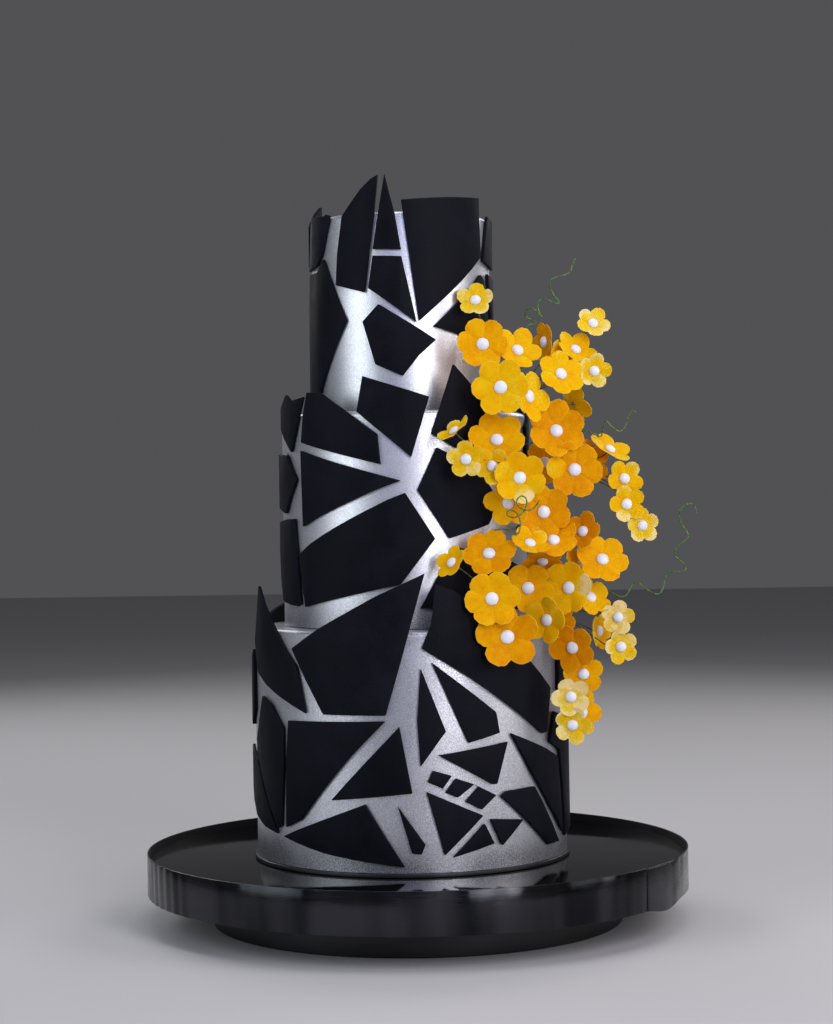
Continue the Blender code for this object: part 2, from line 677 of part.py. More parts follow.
def main():
    """Build the cake and its stand."""
    clear_scene()
    cake = bpy.data.collections.new("wedding_cake")
    helpers = bpy.data.collections.new("helpers")
    bpy.context.scene.collection.children.link(cake)
    bpy.context.scene.collection.children.link(helpers)

    foot_black = make_material("foot_black", (0.010, 0.010, 0.012), 0.55)
    plate_black = make_material("plate_black", (0.008, 0.008, 0.010), 0.12)
    strip_metal = make_material("strip_metal", (0.25, 0.25, 0.27), 0.35, 1.0)
    card_grey = make_material("card_grey", (0.05, 0.05, 0.06), 0.45)
    silver = make_material("silver_icing", (0.62, 0.62, 0.66), 0.35, 0.85)
    black = make_material("black_sugar", (0.016, 0.017, 0.024), 0.60)
    petal = make_material("yellow_petal", (0.80, 0.42, 0.02), 0.60)
    green = make_material("green_wire", (0.12, 0.22, 0.05), 0.50)

    plate_top = stand(cake, foot_black, plate_black, strip_metal)
    card_top = cake_card(cake, card_grey, plate_top)
    cake_tiers(cake, helpers, silver, black, card_top)
    sprays(cake, helpers, petal)
    tendrils(cake, green)
    bpy.data.collections.remove(helpers)


main()
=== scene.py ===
"""Finishes of the three-tier wedding cake: silver icing, black shards, wired flowers and stand.

Lengths are in metres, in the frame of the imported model: +Z up, the cake's front to -Y.
"""

import logging
import math
import random
from collections.abc import Callable, Iterable
from dataclasses import dataclass
from enum import Enum

import bpy
import numpy as np
from mathutils import Matrix, Vector

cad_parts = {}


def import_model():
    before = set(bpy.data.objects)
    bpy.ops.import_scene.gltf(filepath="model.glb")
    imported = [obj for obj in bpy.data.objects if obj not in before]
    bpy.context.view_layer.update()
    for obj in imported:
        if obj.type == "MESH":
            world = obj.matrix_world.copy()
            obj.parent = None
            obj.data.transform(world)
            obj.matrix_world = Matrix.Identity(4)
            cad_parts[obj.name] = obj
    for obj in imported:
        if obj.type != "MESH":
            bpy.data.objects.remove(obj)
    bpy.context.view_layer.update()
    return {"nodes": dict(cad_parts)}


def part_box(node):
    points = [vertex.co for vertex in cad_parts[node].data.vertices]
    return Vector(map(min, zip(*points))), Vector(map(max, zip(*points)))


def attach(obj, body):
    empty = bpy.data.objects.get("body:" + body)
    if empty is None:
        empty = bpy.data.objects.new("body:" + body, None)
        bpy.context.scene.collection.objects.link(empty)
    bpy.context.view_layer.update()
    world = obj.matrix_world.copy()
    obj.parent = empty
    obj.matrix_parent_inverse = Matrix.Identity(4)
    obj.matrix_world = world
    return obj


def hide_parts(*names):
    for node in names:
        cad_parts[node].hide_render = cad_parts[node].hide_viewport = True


LOG = logging.getLogger("wedding_cake")
BODY = "root"
GRAIN_OCTAVES = 5.0
CLOUD_OCTAVES = 2.0
WIDE_CLOUDS = 0.37
VARIANTS = 4
MERGE = 0.00002

Colour = tuple[float, float, float]
Point = tuple[float, float, float]
Range = tuple[float, float]
Outline = tuple[tuple[float, float], ...]


# Shader building


class Sketch:
    """Adds and links the nodes of one node tree."""

    def __init__(self, tree: bpy.types.NodeTree) -> None:
        """Start on a tree.

        Args:
            tree: The node tree to add to.
        """
        self.tree = tree

    def add(self, kind: str, **values: object) -> bpy.types.Node:
        """Add a node and set its properties.

        Args:
            kind: Blender's name of the node type.
            values: Properties of the node by name.

        Returns:
            The new node.
        """
        node = self.tree.nodes.new(kind)
        for name, value in values.items():
            setattr(node, name, value)
        return node

    def feed(self, node: bpy.types.Node, socket: str | int, source: object) -> None:
        """Give a socket a link or a plain value.

        Args:
            node: The node that has the socket.
            socket: Name or number of the input.
            source: An output socket to link, or a value.
        """
        target = node.inputs[socket]
        if isinstance(source, bpy.types.NodeSocket):
            self.tree.links.new(source, target)
        else:
            target.default_value = source

    def noise(
        self, place: object, scale: object, detail: float = 2.0, stretch: Point | None = None
    ) -> bpy.types.NodeSocket:
        """Noise from 0 to 1 over a place vector.

        Args:
            place: Socket with the coordinates.
            scale: Waves per metre.
            detail: Octaves of the noise.
            stretch: Scale of each axis before the noise.

        Returns:
            The noise's value.
        """
        if stretch is not None:
            mapping = self.add("ShaderNodeMapping")
            self.feed(mapping, "Vector", place)
            mapping.inputs["Scale"].default_value = stretch
            place = mapping.outputs["Vector"]
        node = self.add("ShaderNodeTexNoise")
        self.feed(node, "Vector", place)
        self.feed(node, "Scale", scale)
        self.feed(node, "Detail", detail)
        return node.outputs["Fac"]

    def spread(
        self, value: object, low: object, high: object, to_low: object = 0.0, to_high: object = 1.0
    ) -> bpy.types.NodeSocket:
        """Map a value from one range to another, smoothly and clamped.

        Args:
            value: The value to map.
            low: Start of its range.
            high: End of its range.
            to_low: What the start becomes.
            to_high: What the end becomes.

        Returns:
            The mapped value.
        """
        node = self.add("ShaderNodeMapRange", interpolation_type="SMOOTHSTEP")
        for socket, source in zip(("Value", "From Min", "From Max", "To Min", "To Max"),
                                  (value, low, high, to_low, to_high)):
            self.feed(node, socket, source)
        return node.outputs["Result"]

    def math(self, operation: str, first: object, second: object = 0.0) -> bpy.types.NodeSocket:
        """One step of arithmetic.

        Args:
            operation: Blender's name of the operation.
            first: First value.
            second: Second value.

        Returns:
            The result.
        """
        node = self.add("ShaderNodeMath", operation=operation)
        self.feed(node, 0, first)
        self.feed(node, 1, second)
        return node.outputs[0]

    def plus(self, first: object, second: object) -> bpy.types.NodeSocket:
        """The sum of two values."""
        return self.math("ADD", first, second)

    def times(self, first: object, second: object) -> bpy.types.NodeSocket:
        """The product of two values."""
        return self.math("MULTIPLY", first, second)

    def mix(self, share: object, first: object, second: object) -> bpy.types.NodeSocket:
        """Mix two colours.

        Args:
            share: Share of the second colour.
            first: First colour, as three numbers or a socket.
            second: Second colour, as three numbers or a socket.

        Returns:
            The mixed colour.
        """
        node = self.add("ShaderNodeMix", data_type="RGBA")
        self.feed(node, 0, share)
        for socket, source in ((6, first), (7, second)):
            plain = not isinstance(source, bpy.types.NodeSocket)
            self.feed(node, socket, (*source, 1.0) if plain else source)
        return node.outputs[2]


class Effect(Enum):
    """Shader groups that several finishes share."""

    GRAIN = "fine_grain"
    CLOUDS = "soft_clouds"


def effect_group(effect: Effect) -> bpy.types.NodeTree:
    """Find or build a shared shader group.

    Both read Object coordinates and put out a value from 0 to 1. The grain is sharp and even,
    and the clouds are wide and soft.

    Args:
        effect: Which group.

    Returns:
        The group's node tree.
    """
    found = bpy.data.node_groups.get(effect.value)
    if found is not None:
        return found
    tree = bpy.data.node_groups.new(effect.value, "ShaderNodeTree")
    for name in ("Scale", "Low", "High"):
        tree.interface.new_socket(name, in_out="INPUT", socket_type="NodeSocketFloat")
    tree.interface.new_socket("Value", in_out="OUTPUT", socket_type="NodeSocketFloat")
    sketch = Sketch(tree)
    given = sketch.add("NodeGroupInput").outputs
    place = sketch.add("ShaderNodeTexCoord").outputs["Object"]
    if effect is Effect.GRAIN:
        value = sketch.noise(place, given["Scale"], GRAIN_OCTAVES)
    else:
        fine = sketch.noise(place, given["Scale"], CLOUD_OCTAVES)
        wide = sketch.noise(place, sketch.times(given["Scale"], WIDE_CLOUDS), 1.0)
        value = sketch.plus(sketch.times(fine, 0.5), sketch.times(wide, 0.5))
    sketch.feed(sketch.add("NodeGroupOutput"), "Value", sketch.spread(value, given["Low"], given["High"]))
    return tree


@dataclass(frozen=True)
class Pattern:
    """One use of a shared group: its waves per metre, and the noise that becomes 0 and 1."""

    kind: Effect
    scale: float
    low: float
    high: float


@dataclass(frozen=True)
class Relief:
    """A bump: how deep a height of 1 is, in metres, and its strength."""

    depth: float
    strength: float


class Coat(Sketch):
    """A material with its Principled shader, ready to be dressed."""

    def __init__(self, name: str, metallic: float = 0.0, specular: float = 0.5) -> None:
        """Make the material.

        Args:
            name: The material's name.
            metallic: How metallic it is.
            specular: Level of the reflection on what isn't metal.
        """
        self.material = bpy.data.materials.new(name)
        self.material.use_nodes = True
        super().__init__(self.material.node_tree)
        self.shader = self.tree.nodes["Principled BSDF"]
        self.feed(self.shader, "Metallic", metallic)
        self.feed(self.shader, "Specular IOR Level", specular)
        self.place = self.add("ShaderNodeTexCoord").outputs["Object"]

    def effect(self, pattern: Pattern) -> bpy.types.NodeSocket:
        """Place a shared group with its own values.

        Args:
            pattern: Which group, and its values.

        Returns:
            The group's value, from 0 to 1.
        """
        node = self.add("ShaderNodeGroup", node_tree=effect_group(pattern.kind))
        for socket, value in (("Scale", pattern.scale), ("Low", pattern.low), ("High", pattern.high)):
            self.feed(node, socket, value)
        return node.outputs["Value"]

    def between(self, value: object, ends: Range) -> bpy.types.NodeSocket:
        """Spread a value from 0 to 1 over another range."""
        return self.spread(value, 0.0, 1.0, *ends)

    def colour(self, source: object) -> None:
        """Set or link the base colour."""
        plain = not isinstance(source, bpy.types.NodeSocket)
        self.feed(self.shader, "Base Color", (*source, 1.0) if plain else source)

    def rough(self, source: object) -> None:
        """Set or link the roughness."""
        self.feed(self.shader, "Roughness", source)

    def bump(self, height: object, relief: Relief) -> None:
        """Give the surface a bump.

        Args:
            height: Height from 0 to 1.
            relief: Its depth and strength.
        """
        bump = self.add("ShaderNodeBump")
        self.feed(bump, "Strength", relief.strength)
        self.feed(bump, "Distance", relief.depth)
        self.feed(bump, "Height", height)
        self.feed(self.shader, "Normal", bump.outputs["Normal"])


# Finishes


@dataclass(frozen=True)
class SilverIcing:
    """Sugar paste brushed with edible silver, with painted shade at the tier's foot and upper edge, and over
    the lower tiers.
    """

    bright: Colour = (0.80, 0.81, 0.88)
    # Colour of thin silver in the random mottling, and of the painted shade.
    thin_and_shade: Colour = (0.21, 0.21, 0.245)
    metallic: float = 0.80
    clouds: Pattern = Pattern(Effect.CLOUDS, 26.0, 0.30, 0.70)
    speck: Pattern = Pattern(Effect.GRAIN, 1400.0, 0.38, 0.60)
    drift: float = 0.03
    foot_band: Range = (-0.004, 0.022)
    foot_thin: float = 0.36
    rim_shade_band: Range = (-0.006, -0.001)
    rim_shade: float = 0.12
    cloud_thin: float = 0.10
    speck_contrast: Range = (0.55, 1.45)
    tier_shade_base: float = 0.8
    tier_shade_speck: float = 1.1
    speck_thin: float = 0.26
    roughness: Range = (0.29, 0.41)
    relief: Relief = Relief(0.00022, 0.30)

    def material(self, tier: str, foot: float, top: float, tier_shade: float) -> bpy.types.Material:
        """Make the silver of one tier.

        Args:
            tier: The tier's name.
            foot: Height of its foot.
            top: Height of its top.
            tier_shade: Painted shade over the whole tier, from 0 to 1, deeper on the lower tiers.

        Returns:
            The material.
        """
        coat = Coat(f"{tier}_silver_icing", self.metallic)
        up = coat.add("ShaderNodeSeparateXYZ")
        coat.feed(up, "Vector", coat.place)
        clouds = coat.effect(self.clouds)
        speck = coat.effect(self.speck)
        drift = coat.times(coat.math("SUBTRACT", clouds, 0.5), self.drift)
        height = coat.plus(up.outputs["Z"], drift)
        # Painted shade: darker towards the tier's foot, where it meets the part below, and towards its upper
        # edge. The clouds add real mottling.
        low = coat.spread(height, foot + self.foot_band[0], foot + self.foot_band[1], self.foot_thin, 0.0)
        rim = coat.spread(height, top + self.rim_shade_band[0], top + self.rim_shade_band[1], 0.0, self.rim_shade)
        thin_and_shade = coat.plus(coat.plus(low, rim), coat.between(clouds, (0.0, self.cloud_thin)))
        thin_and_shade = coat.times(thin_and_shade, coat.between(speck, self.speck_contrast))
        # Painted shade over the whole tier, greater on the lower tiers. It also coarsens the grain.
        all_over = (self.tier_shade_base * tier_shade, self.speck_thin + self.tier_shade_speck * tier_shade)
        thin_and_shade = coat.plus(thin_and_shade, coat.between(speck, all_over))
        coat.colour(coat.mix(thin_and_shade, self.bright, self.thin_and_shade))
        coat.rough(coat.between(speck, self.roughness))
        coat.bump(coat.plus(coat.times(speck, 0.5), clouds), self.relief)
        return coat.material


@dataclass(frozen=True)
class BlackSugar:
    """Matt black sugar paste with a blue cast and faint smudges."""

    deep: Colour = (0.0012, 0.0016, 0.0040)
    dusty: Colour = (0.0085, 0.0090, 0.0165)
    specular: float = 0.09
    clouds: Pattern = Pattern(Effect.CLOUDS, 60.0, 0.32, 0.72)
    speck: Pattern = Pattern(Effect.GRAIN, 900.0, 0.35, 0.70)
    cloud_dust: float = 0.55
    speck_dust: float = 0.25
    roughness: Range = (0.55, 0.72)
    relief: Relief = Relief(0.00012, 0.5)

    def material(self) -> bpy.types.Material:
        """Make the black of the shards."""
        coat = Coat("black_sugar", specular=self.specular)
        clouds = coat.effect(self.clouds)
        speck = coat.effect(self.speck)
        dust = coat.plus(coat.times(clouds, self.cloud_dust), coat.times(speck, self.speck_dust))
        coat.colour(coat.mix(dust, self.deep, self.dusty))
        coat.rough(coat.between(clouds, self.roughness))
        coat.bump(coat.plus(speck, coat.times(clouds, 2.0)), self.relief)
        return coat.material


@dataclass(frozen=True)
class WaferPetal:
    """Painted wafer paper. Its attribute gives the tone, from pale to deep orange, and the reach."""

    cream: Colour = (0.85, 0.65, 0.30)
    pale: Colour = (0.80, 0.56, 0.085)
    lemon: Colour = (0.82, 0.500, 0.0034)
    yellow: Colour = (0.85, 0.446, 0.0016)
    amber: Colour = (0.83, 0.388, 0.0010)
    orange: Colour = (0.77, 0.320, 0.0008)
    deep: Colour = (0.72, 0.256, 0.0008)
    specular: float = 0.04
    through: float = 0.35
    through_colour: Colour = (1.0, 0.6, 0.05)
    through_depth: float = 0.0012
    washes: Pattern = Pattern(Effect.CLOUDS, 210.0, 0.30, 0.70)
    flecks: Pattern = Pattern(Effect.GRAIN, 700.0, 0.38, 0.66)
    wash_share: float = 0.26
    fleck_share: float = 0.12
    heart_reach: float = 0.55
    heart_tone: float = 0.10
    balance: float = 0.19
    # Where the painted highlight along the petal edges starts, and how strong it is.
    rim_highlight_start: float = 0.965
    rim_highlight: float = 0.35
    roughness: Range = (0.48, 0.66)
    relief: Relief = Relief(0.00025, 0.6)

    def material(self) -> bpy.types.Material:
        """Make the paint of the petals."""
        coat = Coat("wafer_petal", specular=self.specular)
        coat.feed(coat.shader, "Subsurface Weight", self.through)
        coat.feed(coat.shader, "Subsurface Radius", self.through_colour)
        coat.feed(coat.shader, "Subsurface Scale", self.through_depth)
        painted = coat.add("ShaderNodeAttribute", attribute_name="petal_tone")
        parts = coat.add("ShaderNodeSeparateColor")
        coat.feed(parts, "Color", painted.outputs["Color"])
        tone, reach = parts.outputs["Red"], parts.outputs["Green"]
        washes = coat.effect(self.washes)
        flecks = coat.effect(self.flecks)
        tone = coat.plus(tone, coat.times(washes, self.wash_share))
        tone = coat.plus(tone, coat.times(flecks, self.fleck_share))
        tone = coat.plus(tone, coat.spread(reach, 0.0, self.heart_reach, self.heart_tone, 0.0))
        ramp = coat.add("ShaderNodeValToRGB")
        coat.feed(ramp, "Fac", coat.math("SUBTRACT", tone, self.balance))
        stops = ramp.color_ramp.elements
        stops[0].position, stops[0].color = 0.0, (*self.cream, 1.0)
        stops[1].position, stops[1].color = Tone.DEEP.value, (*self.deep, 1.0)
        for step in (Tone.PALE, Tone.LEMON, Tone.YELLOW, Tone.AMBER, Tone.ORANGE):
            stops.new(step.value).color = (*getattr(self, step.name.lower()), 1.0)
        # Painted highlight: a thin paler line along the petal edges, where the thin paper catches the light.
        rim = coat.spread(reach, self.rim_highlight_start, 1.0, 0.0, self.rim_highlight)
        coat.colour(coat.mix(rim, ramp.outputs["Color"], self.pale))
        coat.rough(coat.between(washes, self.roughness))
        coat.bump(coat.plus(washes, coat.times(flecks, 0.5)), self.relief)
        return coat.material


@dataclass(frozen=True)
class IcingDot:
    """White icing of the flowers' eyes."""

    white: Colour = (0.84, 0.86, 0.93)
    shade: Colour = (0.66, 0.68, 0.76)
    clouds: Pattern = Pattern(Effect.CLOUDS, 420.0, 0.30, 0.75)
    roughness: Range = (0.28, 0.48)
    relief: Relief = Relief(0.0002, 0.4)

    def material(self) -> bpy.types.Material:
        """Make the white icing."""
        coat = Coat("white_icing_dot")
        clouds = coat.effect(self.clouds)
        coat.colour(coat.mix(coat.times(clouds, 0.5), self.white, self.shade))
        coat.rough(coat.between(clouds, self.roughness))
        coat.bump(clouds, self.relief)
        return coat.material


@dataclass(frozen=True)
class CoveredWire:
    """Wire wound in paper tape."""

    name: str
    light: Colour
    dark: Colour
    bands: Pattern = Pattern(Effect.GRAIN, 500.0, 0.36, 0.64)
    roughness: Range = (0.38, 0.60)
    relief: Relief = Relief(0.0001, 0.5)

    def material(self) -> bpy.types.Material:
        """Make the tape of the wire."""
        coat = Coat(self.name)
        bands = coat.effect(self.bands)
        coat.colour(coat.mix(bands, self.light, self.dark))
        coat.rough(coat.between(bands, self.roughness))
        coat.bump(bands, self.relief)
        return coat.material


@dataclass(frozen=True)
class GlossBlack:
    """Black surface of the stand, with faint dust that dulls the gloss."""

    name: str
    roughness: Range
    black: Colour = (0.0020, 0.0020, 0.0026)
    dust: Colour = (0.0060, 0.0060, 0.0070)
    clouds: Pattern = Pattern(Effect.CLOUDS, 30.0, 0.35, 0.75)
    speck: Pattern = Pattern(Effect.GRAIN, 700.0, 0.60, 0.72)
    dust_share: float = 0.25
    relief: Relief = Relief(0.0003, 0.10)

    def material(self) -> bpy.types.Material:
        """Make the black of the plate or foot."""
        coat = Coat(self.name)
        clouds = coat.effect(self.clouds)
        speck = coat.effect(self.speck)
        dust = coat.plus(coat.times(clouds, self.dust_share), coat.times(speck, self.dust_share))
        coat.colour(coat.mix(dust, self.black, self.dust))
        coat.rough(coat.between(clouds, self.roughness))
        coat.bump(clouds, self.relief)
        return coat.material


@dataclass(frozen=True)
class DarkFoil:
    """Dark metal strip with soft upright creases and fine brushing along it."""

    light: Colour = (0.046, 0.046, 0.054)
    dark: Colour = (0.006, 0.007, 0.009)
    metallic: float = 0.92
    crease_waves: Point = (22.0, 22.0, 2.5)
    crease_contrast: Range = (0.36, 0.66)
    crease_shade: float = 0.85
    crease_height: float = 8.0
    brush_waves: Point = (60.0, 60.0, 1600.0)
    brush_contrast: Range = (0.3, 0.7)
    brush_rough: Range = (-0.04, 0.06)
    brush_height: float = 0.05
    scuffs: Pattern = Pattern(Effect.CLOUDS, 45.0, 0.40, 0.75)
    roughness: Range = (0.15, 0.34)
    relief: Relief = Relief(0.0009, 0.55)

    def material(self) -> bpy.types.Material:
        """Make the metal of the strip."""
        coat = Coat("dark_foil_strip", self.metallic)
        creases = coat.noise(coat.place, 1.0, 2.0, self.crease_waves)
        brushed = coat.noise(coat.place, 1.0, 3.0, self.brush_waves)
        shade = coat.times(coat.spread(creases, *self.crease_contrast), self.crease_shade)
        coat.colour(coat.mix(shade, self.light, self.dark))
        scuffed = coat.between(coat.effect(self.scuffs), self.roughness)
        coat.rough(coat.plus(scuffed, coat.spread(brushed, *self.brush_contrast, *self.brush_rough)))
        height = coat.plus(coat.times(creases, self.crease_height), coat.times(brushed, self.brush_height))
        coat.bump(height, self.relief)
        return coat.material


@dataclass(frozen=True)
class CoveredCard:
    """Cake card covered in dark foil paper."""

    light: Colour = (0.012, 0.012, 0.015)
    dark: Colour = (0.004, 0.004, 0.005)
    clouds: Pattern = Pattern(Effect.CLOUDS, 90.0, 0.35, 0.70)
    grain: Pattern = Pattern(Effect.GRAIN, 600.0, 0.35, 0.65)
    roughness: Range = (0.32, 0.52)
    relief: Relief = Relief(0.0001, 0.4)

    def material(self) -> bpy.types.Material:
        """Make the covering of the card."""
        coat = Coat("covered_card")
        clouds = coat.effect(self.clouds)
        coat.colour(coat.mix(clouds, self.light, self.dark))
        coat.rough(coat.between(clouds, self.roughness))
        coat.bump(coat.effect(self.grain), self.relief)
        return coat.material


# Modelling helpers


def deselect() -> None:
    """Leave edit mode and deselect every object."""
    if bpy.context.object is not None and bpy.context.object.mode != "OBJECT":
        bpy.ops.object.mode_set(mode="OBJECT")
    bpy.ops.object.select_all(action="DESELECT")


def take(*objects: bpy.types.Object) -> None:
    """Select these objects alone, the first of them active.

    Args:
        objects: The objects to select.
    """
    deselect()
    for obj in objects:
        obj.select_set(True)
    bpy.context.view_layer.objects.active = objects[0]


def named(name: str) -> bpy.types.Object:
    """Name the new active object and its mesh.

    Args:
        name: The name.

    Returns:
        The object.
    """
    obj = bpy.context.object
    obj.name = name
    obj.data.name = name
    return obj


class Element(Enum):
    """What is selected in a mesh."""

    VERTEX = "VERT"
    EDGE = "EDGE"
    FACE = "FACE"


def pick(obj: bpy.types.Object, element: Element, test: Callable[[Vector], bool] | None = None) -> None:
    """Select the vertices, edges or faces of a mesh that pass a test, and enter edit mode.

    Args:
        obj: The object.
        element: What to select.
        test: Says of a vertex, or of the middle of an edge or face, whether it is taken. Without
            a test, all are taken.
    """
    take(obj)
    bpy.ops.object.mode_set(mode="EDIT")
    bpy.ops.mesh.select_mode(type=element.value)
    bpy.ops.mesh.select_all(action="SELECT" if test is None else "DESELECT")
    if test is None:
        return
    bpy.ops.object.mode_set(mode="OBJECT")
    mesh = obj.data
    if element is Element.VERTEX:
        for vertex in mesh.vertices:
            vertex.select = test(vertex.co)
    elif element is Element.EDGE:
        for edge in mesh.edges:
            first, second = (mesh.vertices[index].co for index in edge.vertices)
            edge.select = test((first + second) / 2)
    else:
        for face in mesh.polygons:
            face.select = test(face.center)
    bpy.ops.object.mode_set(mode="EDIT")


def place_new(name: str, data: bpy.types.ID) -> bpy.types.Object:
    """Make an object of some data and add it to the scene.

    Args:
        name: The object's name.
        data: Its mesh, curve, camera or light.

    Returns:
        The object.
    """
    obj = bpy.data.objects.new(name, data)
    bpy.context.scene.collection.objects.link(obj)
    return obj


def copy_solid(name: str, node: bpy.types.Object) -> bpy.types.Object:
    """Copy a node of the model, with its doubles merged, and enter edit mode.

    Args:
        name: The object's name.
        node: The node.

    Returns:
        The copy, all selected.
    """
    obj = place_new(name, node.data.copy())
    obj.data.materials.clear()
    pick(obj, Element.VERTEX)
    bpy.ops.mesh.remove_doubles(threshold=MERGE)
    return obj


def finish_modifier(obj: bpy.types.Object, kind: str, **values: object) -> None:
    """Add a modifier with its values and apply it.

    Args:
        obj: The object.
        kind: Blender's name of the modifier type.
        values: Properties of the modifier by name.
    """
    take(obj)
    modifier = obj.modifiers.new(kind.title(), kind)
    for name, value in values.items():
        setattr(modifier, name, value)
    bpy.ops.object.modifier_apply(modifier=modifier.name)


def ease_edges(obj: bpy.types.Object, width: float, segments: int, degrees: float) -> None:
    """Round the edges that are sharper than an angle.

    Args:
        obj: The object.
        width: Width of the rounding.
        segments: How finely it is divided.
        degrees: The angle.
    """
    finish_modifier(obj, "BEVEL", width=width, segments=segments, limit_method="ANGLE",
                    angle_limit=math.radians(degrees))


def settle(obj: bpy.types.Object) -> None:
    """Bake an object's place, turn and scale into its mesh."""
    take(obj)
    bpy.ops.object.transform_apply(location=True, rotation=True, scale=True)


def smooth(obj: bpy.types.Object, degrees: float = 35.0) -> None:
    """Shade smooth, with edges sharper than the angle kept."""
    take(obj)
    bpy.ops.object.shade_smooth_by_angle(angle=math.radians(degrees))


def disc(
    name: str, radius: float, bottom: float, top: float, x: float, edge: float, sides: int
) -> bpy.types.Object:
    """A round body with both its edges eased.

    Args:
        name: The object's name.
        radius: Its radius.
        bottom: Height of its underside.
        top: Height of its top.
        x: Place of its axis to the right.
        edge: Radius of the eased edges.
        sides: How many sides it has.

    Returns:
        The object.
    """
    deselect()
    bpy.ops.mesh.primitive_cylinder_add(
        vertices=sides, radius=radius, depth=top - bottom, location=(x, 0.0, (top + bottom) / 2)
    )
    obj = named(name)
    settle(obj)
    ease_edges(obj, edge, 4, 60)
    smooth(obj)
    return obj


def join_all(name: str, objects: list[bpy.types.Object]) -> bpy.types.Object:
    """Join objects into one mesh.

    Args:
        name: Name of the joined object.
        objects: What to join.

    Returns:
        The joined object.
    """
    take(*objects)
    if len(objects) > 1:
        bpy.ops.object.join()
    return named(name)


def dress(
    obj: bpy.types.Object, material: bpy.types.Material, replaced: Iterable[str] = ()
) -> None:
    """Give a finished piece its material, its body and the nodes it stands for.

    Args:
        obj: The piece.
        material: Its material.
        replaced: The model's nodes that it stands for.
    """
    if not obj.data.materials:
        obj.data.materials.append(material)
    obj.data.materials[0] = material
    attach(obj, BODY)
    if replaced:
        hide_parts(*replaced)
    LOG.info("%s: %d faces", obj.name, len(obj.data.polygons))


def tube(name: str, points: list[Vector], radius: float, sides: int) -> bpy.types.Object:
    """A round wire through the points, as a mesh.

    Args:
        name: The object's name.
        points: Points of its centre line.
        radius: The wire's radius.
        sides: How finely its section is divided.

    Returns:
        The object.
    """
    deselect()
    curve = bpy.data.curves.new(name, "CURVE")
    curve.dimensions = "3D"
    curve.bevel_depth = radius
    curve.bevel_resolution = sides
    curve.use_fill_caps = True
    spline = curve.splines.new("POLY")
    spline.points.add(len(points) - 1)
    for point, place in zip(spline.points, points):
        point.co = (*place, 1.0)
    take(place_new(name, curve))
    bpy.ops.object.convert(target="MESH")
    return named(name)


# Stand


